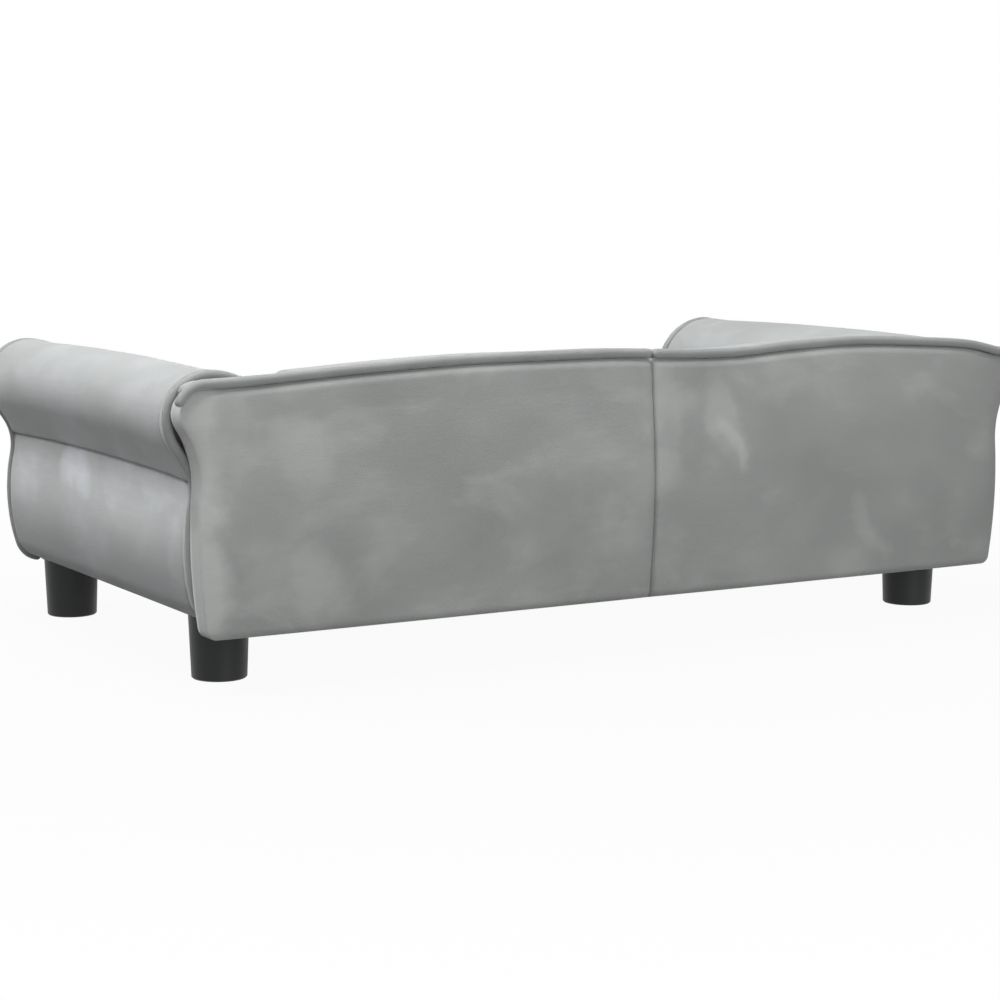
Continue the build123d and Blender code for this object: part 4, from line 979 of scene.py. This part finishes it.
def pad(distance, reach):
    """0 at an edge: a quick round rim first, then a slow crown that reaches 1."""
    crown = math.sin(math.pi / 2 * min(1.0, max(0.0, distance / CROWN_REACH)))
    return RIM_SHARE * rim(distance, reach) + (1 - RIM_SHARE) * crown


def rear_grid(side):
    """Points of a rear half: rows from the foot up, columns from the seam to the side edge."""
    seam_x = side * SEAM_X + GAP / 2
    grid = []
    for v in spaced(UPWARD):
        row = []
        for u in spaced(ACROSS):
            guess = REAR_FOOT_Z + v * (crest(side * u * REAR_HALF_X) - REAR_FOOT_Z)
            x = seam_x + u * (side_x(guess) - seam_x)
            top = crest(side * min(x, REAR_HALF_X))
            z = REAR_FOOT_Z + v * (top - REAR_FOOT_Z) if x <= REAR_HALF_X else guess
            row.append((x, z))
        grid.append(row)
    return grid


def rear_depth(side, x, z):
    """How far the velvet stands behind the board at a place."""
    to_side = side_x(z) - x
    to_level = min(crest(side * min(x, REAR_HALF_X)) - z, z - REAR_FOOT_Z)
    to_edge = max(0.0, min(to_side, to_level))
    depth = REAR_DEPTH * pad(to_side, SIDE_REACH) * pad(to_level, LEVEL_REACH)
    to_seam = x - side * SEAM_X
    seam_dip = sum(dip * math.exp(-to_seam / reach) for dip, reach in (GROOVE, TROUGH))
    point = (side * x, 0, z)
    hollows = 1.3 * soft_noise(point, 120.0, 4.0) + 0.6 * soft_noise(point, 45.0, 1.0)
    pulls = 0.7 * gathered((x, 0, z), 17.0, 8.0, to_edge, 24.0)
    return depth - seam_dip + (hollows + pulls - 1.2) * min(1.0, to_edge / 30.0)


for side_name, side in SIDES:
    grid = rear_grid(side)
    shell = []
    for row in grid:
        shell.append([(side * x, REAR_Y + max(0.0, rear_depth(side, x, z)), z) for x, z in row])
    rows, columns = len(shell), len(shell[0])
    points = [p for row in shell for p in row]
    faces = [(a, c, d, b) for a, b, c, d in cells(rows, columns)]
    edge = grid_edge(rows, columns)
    last_ring = edge
    for y in BORDER_YS:
        ring = []
        for k in edge:
            ring.append(len(points))
            points.append((points[k][0], y, points[k][2]))
        for k in range(len(ring)):
            after = (k + 1) % len(ring)
            faces.append((last_ring[k], last_ring[after], ring[after], ring[k]))
        last_ring = ring
    foot = last_ring[:columns]
    for rise in (0.0, 0.45, 1.0):
        hem = []
        for k in foot:
            x, _, z = points[k]
            hem_top = HEM_TOP_Z if abs(x) < ARM_X - INNER_R else HEM_TOP_AT_ARM_Z
            hem.append(len(points))
            points.append((x, HEM_Y, REAR_FOOT_Z + (hem_top - REAR_FOOT_Z) * rise))
        for k in range(columns - 1):
            faces.append((foot[k], foot[k + 1], hem[k + 1], hem[k]))
        foot = hem
    if side < 0:
        faces = [face[::-1] for face in faces]
    half_panel = make_object(
        f"rear_panel_velvet_{side_name}", points, faces, VELVET_REAR, "sofa",
        (f"rear_panel_{side_name}", f"rear_wadding_{side_name}"),
    )
    thickened(half_panel, REAR_CLOTH)

    stations = along(side * SEAM_X + GAP / 2, REAR_HALF_X, 110)
    route = [(side * x, BACK_WELT_Y, crest(side * x) + WELT_R + GAP) for x in stations]
    corner = arc(CORNER_C, CORNER_R + WELT_R + GAP, 90, -72, 3.0)[1:]
    route += [(side * x, BACK_WELT_Y, z) for x, z in corner]
    welt = tube(
        f"back_welt_velvet_{side_name}", route, WELT_R, VELVET_WELT_SHADED, "sofa", (f"back_welt_{side_name}",)
    )
print("rear halves and back welts made")

# %% [markdown]
# ## Inside of the back
# The inner cover starts at the welt, rolls over the board's top and falls to the deck. Its ends are
# closed beside the arms. There only a narrow cap of it is left on the board, and goes round the corner
# with the board's edge. An apron under the cap covers the board down to the arm.

# %% Inner back
SEAT_HALF_X, BACK_FACE_Y, BACK_REAR_R, BACK_FRONT_R, FACE_BULGE = 357.4, 170.0, 7.0, 30.0, 4.0
BACK_RISE = BACK_REAR_R + GAP
END_SHARES = (0.04, 0.2, 0.45, 0.7, 0.985)  # steps by which the ends are drawn in to the board
END_DROP, BOARD_FACE_Y = 9.0, 214.0
LIP_POINTS = 5  # the first points of a section lie under the welt and aren't pressed in so far


def back_section(x):
    """Section across the seat's part of the back, as points (y, z), from the lip to the deck."""
    top = crest(x) + BACK_RISE
    rear_c = (REAR_Y - BACK_REAR_R, top - BACK_REAR_R)
    front_c = (BACK_FACE_Y + BACK_FRONT_R, top - BACK_FRONT_R)
    low = DECK_Z + GAP
    face = []
    for t in along(0.0, 1.0, 34)[1:]:
        z = front_c[1] + (low - front_c[1]) * t
        face.append((BACK_FACE_Y - FACE_BULGE * 4 * t * (1 - t), z))
    return joined(
        arc(rear_c, BACK_REAR_R, 0, 90, 1.6),
        line((rear_c[0], top), (front_c[0], top)),
        arc(front_c, BACK_FRONT_R, 90, 90),
        face,
    )


def back_end(x, share):
    """The section drawn in towards the board's face, for the closed ends beside the arms."""
    top = crest(x) + BACK_RISE - END_DROP
    return [(x, y + (BOARD_FACE_Y - y) * share, z + (min(z, top) - z) * share) for y, z in back_section(x)]


grid = [back_end(-SEAT_HALF_X, share) for share in END_SHARES[::-1]]
grid += [[(x, y, z) for y, z in back_section(x)] for x in along(-SEAT_HALF_X, SEAT_HALF_X, 120)]
grid += [back_end(SEAT_HALF_X, share) for share in END_SHARES]


def back_press(i, j, point):
    """The inner back is drawn in beside the arms, with a few gathers."""
    to_end = SEAT_HALF_X - abs(point[0])
    depth = 7.0 * ease(to_end, 14.0)
    gathers = abs(gathered((0, point[1], point[2]), 14.0, 6.0, to_end, 22.0))
    if j < LIP_POINTS:
        depth *= j / LIP_POINTS
    return depth + 0.4 * gathers + 0.5 + 0.5 * soft_noise(point, 80.0, 2.5)


inner_back = cloth_skin(
    "inner_back_velvet", grid, back_press, VELVET_SEAT, "sofa", ("inner_back_cover", "back_foam"), -1, 2.0
)
print("inner back made")

# %% [markdown]
# ## Caps and aprons
# The cap's profile is carried along the crest and then round the corner, where it thins out. The
# apron is a plain upright strip whose foot follows the arm's section.

# %% Caps and aprons
CAP_END, CAP_CLOTH = 46.0, 1.8
APRON_Y, APRON_CLOTH, APRON_LAP = 213.0, 2.0, 12.0
CAP_PROFILE = joined(
    arc((REAR_Y - BACK_REAR_R, GAP), BACK_REAR_R, 0, 90, 1.6),
    line((REAR_Y - BACK_REAR_R, BACK_RISE), (BOARD_FRONT_Y + BACK_REAR_R, BACK_RISE), 2.0),
    arc((BOARD_FRONT_Y + BACK_REAR_R, GAP), BACK_REAR_R, 90, 90, 1.6),
)
APRON_STATIONS = along(SEAT_HALF_X - APRON_LAP, SEAT_HALF_X - 0.4, 4)
APRON_STATIONS += along(SEAT_HALF_X, ARM_X - 29.0, 14)


def cap_press(i, j, point):
    """The cap only has faint hollows."""
    return 0.35 + 0.3 * soft_noise(point, 30.0, 3.3)


def apron_foot(x):
    """Where the apron ends below: over the deck within the seat, and just over the arm beside it."""
    if x < SEAT_HALF_X:
        return DECK_Z + 10.0
    inner_z = ARM_TOP_Z + RISE_REAR - INNER_R
    return inner_z + math.sqrt(INNER_R**2 - min(INNER_R, ARM_X - x) ** 2) + 0.7


for side_name, side in SIDES:
    stations = []
    for x in along(SEAT_HALF_X - 4.0, REAR_HALF_X, 24):
        stations.append(((side * x, crest(side * x)), (0.0, 1.0)))
    for angle in along(90.0, CAP_END, 14)[1:]:
        x, z = polar(CORNER_C, CORNER_R, angle)
        turn = math.radians(angle)
        low = max(0.02, rim(angle - CAP_END, 16.0))
        stations.append(((side * x, z), (side * math.cos(turn) * low, math.sin(turn) * low)))
    grid = []
    for (x, z), up in stations:
        grid.append([(x + up[0] * h, y, z + up[1] * h) for y, h in CAP_PROFILE])
    cap = cloth_skin(
        f"back_cap_velvet_{side_name}", grid, cap_press, VELVET_SEAT, "sofa", (), -side, CAP_CLOTH
    )
    grid = []
    for x in APRON_STATIONS:
        foot_z, top_z = apron_foot(x), crest(side * x) + 2.0
        lowest = min(foot_z, top_z - 1.0)
        grid.append([(side * x, APRON_Y, max(lowest, z)) for z in along(foot_z, top_z, 12)])
    absorb(cap, cloth_skin("apron", grid, unpressed, VELVET_SEAT, None, (), -side, -APRON_CLOTH))
print("caps and aprons made")

# %% [markdown]
# ## Front edge
# The front cover laps the deck, rounds over the rail's foam and ends under the rail.

# %% Front edge
FRAME_FRONT_Y, FRONT_LAP, FRONT_FOAM, LEG_H = -234.0, 18.0, 12.5, 60.0
FRONT_SKIN_Y = FRAME_FRONT_Y - 2 * GAP - FRONT_FOAM
FRONT_TOP_R, FRONT_FOOT_R = 12.0, 6.0


def front_section():
    """Outer face of the front cover, as points (y, z), from its lap on the deck to the one below."""
    top_c = (FRONT_SKIN_Y + FRONT_TOP_R + GAP, DECK_Z - FRONT_TOP_R)
    foot_c = (FRONT_SKIN_Y + FRONT_FOOT_R + GAP, LEG_H + FRONT_FOOT_R)
    top_r, foot_r = FRONT_TOP_R + GAP + CLOTH, FRONT_FOOT_R + GAP + CLOTH
    lap_y = FRAME_FRONT_Y + FRONT_LAP
    return joined(
        line((lap_y, DECK_Z + GAP + CLOTH), polar(top_c, top_r, 90)),
        arc(top_c, top_r, 90, 90),
        line(polar(top_c, top_r, 180), polar(foot_c, foot_r, 180)),
        arc(foot_c, foot_r, 180, 90),
        line(polar(foot_c, foot_r, 270), (lap_y, LEG_H - GAP - CLOTH)),
    )


def front_press(i, j, point):
    """The front edge dips at its ends and stands out a little at half its height."""
    to_end = SEAT_HALF_X - abs(point[0])
    swell = max(0.0, 1 - abs(point[2] - 88.0) / 30.0)
    return 1.2 * ease(to_end, 6.0) + 0.35 + 0.35 * soft_noise(point, 60.0, 1.7) - 0.3 * swell


grid = [[(x, y, z) for y, z in front_section()] for x in along(-SEAT_HALF_X, SEAT_HALF_X, 120)]
front_edge = cloth_skin(
    "front_rail_velvet", grid, front_press, VELVET_SEAT, "sofa",
    ("front_rail_cover", "front_rail_foam"), -1, 2.1,
)
print("front edge made")

# %% [markdown]
# ## Linings
# Black nonwoven lines the deck under the cushion, and closes the frame from below. Each lining is a
# flat grid whose points give way to the round holes for the legs, and it lies slightly slack.

# %% Linings
LINING_STEP = 7.0
LINING_PLAY, LINING_DOWN = 0.35, 0.15  # the sheet is thinner than its space, and lies below its top
DUST_CLOTH, LEG_HOLE_R = 0.8, 27.7


def lining(name, corners, low_z, thickness, holes, replaced):
    """A thin flat sheet of lining, with round notches where legs stand, slightly slack."""
    (x0, y0), (x1, y1) = corners
    columns, rows = round((x1 - x0) / LINING_STEP), round((y1 - y0) / LINING_STEP)
    margin = LINING_STEP * 0.75
    kept, points = {}, []
    for i in range(rows + 1):
        for j in range(columns + 1):
            x, y = x0 + (x1 - x0) * j / columns, y0 + (y1 - y0) * i / rows
            for hx, hy, radius in holes:
                away = math.hypot(x - hx, y - hy)
                if 1e-6 < away < radius + margin:
                    if away < radius - margin:
                        break
                    x, y = hx + (x - hx) * radius / away, hy + (y - hy) * radius / away
                    x, y = max(x0, min(x1, x)), max(y0, min(y1, y))
            else:
                kept[i, j] = len(points)
                slack = 0.12 * soft_noise((x, y, 0), 60.0, 5.0)
                points.append((x, y, low_z + thickness - LINING_DOWN + slack))
    faces = []
    for i in range(rows):
        for j in range(columns):
            ring = [kept.get(k) for k in ((i, j), (i, j + 1), (i + 1, j + 1), (i + 1, j))]
            if None not in ring:
                faces.append(tuple(ring))
    used = sorted({k for face in faces for k in face})
    order = {k: n for n, k in enumerate(used)}
    faces = [tuple(order[k] for k in face) for face in faces]
    piece = make_object(name, [points[k] for k in used], faces, LINING, "sofa", replaced)
    thickened(piece, thickness - LINING_PLAY)
    return piece


DECK_CORNERS = ((-SEAT_HALF_X, -215.7), (SEAT_HALF_X, 165.7))
deck_lining = lining("deck_lining", DECK_CORNERS, DECK_Z + GAP, CLOTH, (), ("deck_cover",))
LEG_HOLES = [(x, y, LEG_HOLE_R) for x in (-396.7, 396.7) for y in (-212.0, 161.0)]
DUST_CORNERS = ((-398.0, -215.7), (398.0, 210.5))
under_lining = lining(
    "under_lining", DUST_CORNERS, LEG_H - GAP - DUST_CLOTH, DUST_CLOTH, LEG_HOLES, ("dust_cover",)
)
print("linings made")

# %% [markdown]
# ## Seat cushion
# The cushion lies loose in the seat, and is soft enough to bulge between its welts. That bulge could
# be modelled by hand, but cloth that is swelled by air finds it on its own. It starts as a slightly
# slimmer closed form, made of rings from its foot to its crown.

# %% Cushion form
CUSHION_HALF_X, CUSHION_FRONT_Y, CUSHION_REAR_Y = 345.4, -238.0, 156.0
CUSHION_FOOT_Z = DECK_Z + CLOTH + 2 * GAP
CUSHION_CORNER_R, CUSHION_DRAW, CUSHION_WELT_R = 30.0, 5.0, 4.0
LOW_SEAM_Z, TOP_SEAM_Z = CUSHION_FOOT_Z + CUSHION_WELT_R, CUSHION_FOOT_Z + 52.0
CUSHION_CROWN, CUSHION_REACH = 17.0, 120.0
CUSHION_Y = (CUSHION_FRONT_Y + CUSHION_REAR_Y) / 2
CUSHION_HALF_Y = (CUSHION_REAR_Y - CUSHION_FRONT_Y) / 2
SEAM_IN, SIDE_SWELL, LEAST_CORNER_R = 1.2, 2.0, 8.0
RING_POINTS, CUSHION_VOXEL = 280, 0.006  # the voxel is in metres
SWELL_SPARE = 3.5  # the crown starts this much lower, and the air fills it


def cushion_outline(inset, step=6.0):
    """Plan outline of the cushion: rounded corners, and sides drawn in between them."""
    half_x, half_y = CUSHION_HALF_X - inset, CUSHION_HALF_Y - inset
    radius = max(LEAST_CORNER_R, CUSHION_CORNER_R - inset)
    points = []
    corners = ((1, 1, 0), (-1, 1, 90), (-1, -1, 180), (1, -1, 270))
    for sx, sy, start in corners:
        centre = (sx * (half_x - radius), sy * (half_y - radius))
        points += arc(centre, radius, start, 90, 5.0)
        half = half_y - radius if start in (90, 270) else half_x - radius
        for t in along(-1.0, 1.0, round(2 * half / step))[1:-1]:
            drawn = CUSHION_DRAW * (1 - t * t)
            after_corner = {
                0: (-t * half, half_y), 90: (drawn - half_x, -t * half),
                180: (t * half, drawn - half_y), 270: (half_x - drawn, t * half),
            }
            points.append(after_corner[start])
    return [(x, y + CUSHION_Y) for x, y in points]


def ring_solid(name, rings, material):
    """Closed form through rings of any number of points each: each ring is resampled to one count."""
    count = RING_POINTS
    points = []
    for outline, z in rings:
        lengths = [0.0]
        closed = outline + outline[:1]
        for a, b in zip(closed, closed[1:]):
            lengths.append(lengths[-1] + math.dist(a, b))
        for k in range(count):
            goal = lengths[-1] * k / count
            index = max(i for i in range(len(outline)) if lengths[i] <= goal)
            t = (goal - lengths[index]) / max(lengths[index + 1] - lengths[index], 1e-9)
            (ax, ay), (bx, by) = closed[index], closed[index + 1]
            points.append((ax + (bx - ax) * t, ay + (by - ay) * t, z))
    faces = [tuple(range(count))[::-1]]
    for r in range(len(rings) - 1):
        for k in range(count):
            a, b = r * count + k, r * count + (k + 1) % count
            faces.append((a, b, b + count, a + count))
    faces.append(tuple((len(rings) - 1) * count + k for k in range(count)))
    return make_object(name, points, faces, material, None)


def cushion_rings():
    """Outlines with their heights: the foot, the low seam, the side, the top seam and the crown."""
    rings = [(cushion_outline(CUSHION_WELT_R + 1.5), CUSHION_FOOT_Z)]
    rings.append((cushion_outline(SEAM_IN), LOW_SEAM_Z))
    for t in along(0.0, 1.0, 6)[1:-1]:
        z = LOW_SEAM_Z + (TOP_SEAM_Z - LOW_SEAM_Z) * t
        rings.append((cushion_outline(SEAM_IN - SIDE_SWELL * 4 * t * (1 - t)), z))
    rings.append((cushion_outline(SEAM_IN), TOP_SEAM_Z))
    for angle in along(0.0, 90.0, 9)[1:]:
        turn = math.radians(angle)
        outline = cushion_outline(SEAM_IN + CUSHION_REACH * (1 - math.cos(turn)))
        rings.append((outline, TOP_SEAM_Z + (CUSHION_CROWN - SWELL_SPARE) * math.sin(turn)))
    return rings


cushion = ring_solid("cushion_velvet", cushion_rings(), VELVET_SEAT)
cushion = remeshed(cushion, CUSHION_VOXEL)
print("cushion vertices before the cloth:", len(cushion.data.vertices))

# %% [markdown]
# ## Swelling the cushion
# Cloth with air pressure inside swells the form, while the two seams are held. Afterwards no point
# may be further than a few millimetres from where it started. The seams keep their groove, shallow
# hollows and gathers are pressed in, and the welts are laid into the seams.

# %% Cushion cloth
SWELL_CAP, PRESSURE, LAST_FRAME = 5.0, 4.0, 20
HELD_WIDTH, HELD_HEIGHT = 9.0, 4.0  # the band at a seam that the cloth can't move
at_rest = [v.co.copy() for v in cushion.data.vertices]
held = cushion.vertex_groups.new(name="seams")
for vertex in cushion.data.vertices:
    x, y, z = (c / MM for c in vertex.co)
    sideways = max(abs(x) - CUSHION_HALF_X, abs(y - CUSHION_Y) - CUSHION_HALF_Y)
    at_seam_height = abs(z - TOP_SEAM_Z) < HELD_HEIGHT or z < LOW_SEAM_Z + 3.0
    if at_seam_height and sideways > -HELD_WIDTH or z < CUSHION_FOOT_Z + 1.5:
        held.add([vertex.index], 1.0, "REPLACE")
cloth = cushion.modifiers.new("cloth", "CLOTH")
cloth.settings.use_pressure = True
cloth.settings.uniform_pressure_force = PRESSURE
cloth.settings.vertex_group_mass = "seams"
cloth.settings.effector_weights.gravity = 0.0
cloth.settings.quality = 4
cloth.point_cache.frame_start, cloth.point_cache.frame_end = 1, LAST_FRAME
for frame_number in range(1, LAST_FRAME + 1):
    bpy.context.scene.frame_set(frame_number)
baked(cushion)
bpy.context.scene.frame_set(1)
for vertex, start in zip(cushion.data.vertices, at_rest):
    move = vertex.co - start
    if move.length > SWELL_CAP * MM:
        vertex.co = start + move.normalized() * SWELL_CAP * MM
    x, y, z = (c / MM for c in vertex.co)
    if z > TOP_SEAM_Z + 6.0:
        hollow = 1.1 * soft_noise((x, y, 0), 110.0, 6.0) + 0.5 * soft_noise((x, y, 0), 38.0, 2.0)
        vertex.co.z += (hollow - 1.2) * MM
    if z > TOP_SEAM_Z:
        to_side = min(CUSHION_HALF_X - abs(x), CUSHION_HALF_Y - abs(y - CUSHION_Y))
        vertex.co.z -= 0.9 * abs(gathered((x, y, 0), 17.0, 9.0, max(0.0, to_side), 22.0)) * MM
    vertex.co.z = max(vertex.co.z, CUSHION_FOOT_Z * MM)
smoother = cushion.modifiers.new("fine", "SUBSURF")
smoother.levels = smoother.render_levels = 1
baked(cushion)
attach(cushion, "seat_cushion")
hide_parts("cushion_cover", "cushion_core")

for seam_name, seam_z in (("top", TOP_SEAM_Z), ("bottom", LOW_SEAM_Z)):
    route = [(x, y, seam_z) for x, y in cushion_outline(-CUSHION_WELT_R - 0.6, 5.0)]
    welt = tube(
        f"cushion_welt_velvet_{seam_name}", route, CUSHION_WELT_R, VELVET_WELT_SHADED, "seat_cushion",
        (f"cushion_welt_{seam_name}",), closed=True,
    )
print("cushion vertices:", len(cushion.data.vertices))

# %% [markdown]
# ## Zip
# The teeth are a repeat, so Geometry Nodes lays them: a line of points, one tooth on each, turned
# over at every other point so that the two rows mesh.

# %% Zip
ZIP_HALF_X, TEETH_HALF_X, ZIP_Z = 250.0, 242.0, (LOW_SEAM_Z + TOP_SEAM_Z) / 2
ZIP_FACE_Y = CUSHION_REAR_Y + 2.5  # the cushion's rear side bulges out to there
TAPE_DEPTH, TAPE_WIDTH = 1.1, 16.0
TOOTH_PITCH, TOOTH_SIZE = 1.6, (1.15, 1.3, 2.6)


def block(centre, size):
    """Corners and faces of a block, in millimetres."""
    (cx, cy, cz), (sx, sy, sz) = centre, (s / 2 for s in size)
    corners = [(cx + a * sx, cy + b * sy, cz + c * sz) for a in (-1, 1) for b in (-1, 1) for c in (-1, 1)]
    faces = [(0, 1, 3, 2), (4, 6, 7, 5), (0, 4, 5, 1), (2, 3, 7, 6), (0, 2, 6, 4), (1, 5, 7, 3)]
    return corners, faces


corners, faces = block((0.0, ZIP_FACE_Y - 0.7, ZIP_Z), (2 * ZIP_HALF_X, TAPE_DEPTH, TAPE_WIDTH))
tape = make_object("zip_tape_woven", corners, faces, ZIP_TAPE, "seat_cushion", ("zip_tape",), smooth=False)
soften = tape.modifiers.new("edge", "BEVEL")
soften.width, soften.segments = 0.3 * MM, 2
baked(tape)

corners, faces = block((0.0, 0.0, 0.9), TOOTH_SIZE)
tooth = make_object("tooth_pattern", corners, faces, ZIP_TEETH, None)
teeth_tree = bpy.data.node_groups.new("zip_teeth", "GeometryNodeTree")
sockets = teeth_tree.interface
sockets.new_socket("Geometry", in_out="INPUT", socket_type="NodeSocketGeometry")
count_socket = sockets.new_socket("Count", in_out="INPUT", socket_type="NodeSocketInt")
pitch_socket = sockets.new_socket("Pitch", in_out="INPUT", socket_type="NodeSocketFloat")
sockets.new_socket("Geometry", in_out="OUTPUT", socket_type="NodeSocketGeometry")
given = add(teeth_tree, "NodeGroupInput")
offset = add(teeth_tree, "ShaderNodeCombineXYZ", {"X": given.outputs["Pitch"]})
length = add(teeth_tree, "ShaderNodeMath", {
    0: given.outputs["Count"], 1: given.outputs["Pitch"],
}, operation="MULTIPLY")
half_back = add(teeth_tree, "ShaderNodeMath", {0: length, 1: -0.5}, operation="MULTIPLY")
start = add(teeth_tree, "ShaderNodeCombineXYZ", {"X": half_back})
row = add(teeth_tree, "GeometryNodeMeshLine", {
    "Count": given.outputs["Count"], "Start Location": start, "Offset": offset,
}, mode="OFFSET")
number = add(teeth_tree, "GeometryNodeInputIndex")
odd = add(teeth_tree, "ShaderNodeMath", {0: number, 1: 2.0}, operation="MODULO")
turned = add(teeth_tree, "ShaderNodeMath", {0: odd, 1: math.pi}, operation="MULTIPLY")
turn = add(teeth_tree, "ShaderNodeCombineXYZ", {"X": turned})
shape = add(teeth_tree, "GeometryNodeObjectInfo", {"Object": tooth})
lay = add(teeth_tree, "GeometryNodeInstanceOnPoints", {
    "Points": row, "Instance": shape.outputs["Geometry"], "Rotation": turn,
})
real = add(teeth_tree, "GeometryNodeRealizeInstances", {0: lay})
painted = add(teeth_tree, "GeometryNodeSetMaterial", {"Geometry": real, "Material": ZIP_TEETH})
add(teeth_tree, "NodeGroupOutput", {0: painted})
teeth = make_object("zip_teeth_row", [(0, 0, 0)], [], ZIP_TEETH, None)
nodes_modifier = teeth.modifiers.new("teeth", "NODES")
nodes_modifier.node_group = teeth_tree
nodes_modifier[count_socket.identifier] = round(2 * TEETH_HALF_X / TOOTH_PITCH)
nodes_modifier[pitch_socket.identifier] = TOOTH_PITCH * MM
baked(teeth)
for vertex in teeth.data.vertices:
    vertex.co += Vector((0.0, (ZIP_FACE_Y + 0.6) * MM, ZIP_Z * MM))
teeth.data.polygons.foreach_set("use_smooth", [False] * len(teeth.data.polygons))
bpy.data.objects.remove(tooth)
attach(teeth, "seat_cushion")
print("zip teeth:", len(teeth.data.polygons) // 6)

# %% [markdown]
# ## What the CAD brings
# The timber, legs and hardware are exact already. These nodes keep their meshes and only get their
# materials, chosen by name.

# %% CAD materials
PAINT = (
    (("leg_front", "leg_rear"), PLASTIC),
    (("leg_studs", "tee_nuts", "frame_screws"), STEEL),
    (("zip_slider", "zip_stops"), ZIP_METAL),
    (("base_side_rail", "base_centre_rail", "arm_battens"), PINE_Y),
    (("base_front_rail", "base_rear_rail", "leg_blocks"), PINE_X),
    (("deck_board", "back_board", "arm_front_board", "arm_rear_board"), PLYWOOD),
)
painted_nodes = []
for prefixes, material in PAINT:
    for node_name, node in NODES.items():
        if node_name.startswith(prefixes):
            if not node.material_slots:
                node.data.materials.append(material)
            for material_slot in node.material_slots:
                material_slot.material = material
            painted_nodes.append(node_name)
print("painted CAD nodes:", len(painted_nodes))

# %% [markdown]
# The visual model has to stay close to the CAD box. The CAD box and the visual model's box
# are written down side by side.

# %% Finish
shown_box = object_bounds()
for label, corners in (("CAD", cad_box), ("visual", shown_box)):
    print(label, "size mm:", [round((corners[1][k] - corners[0][k]) / MM, 1) for k in range(3)])
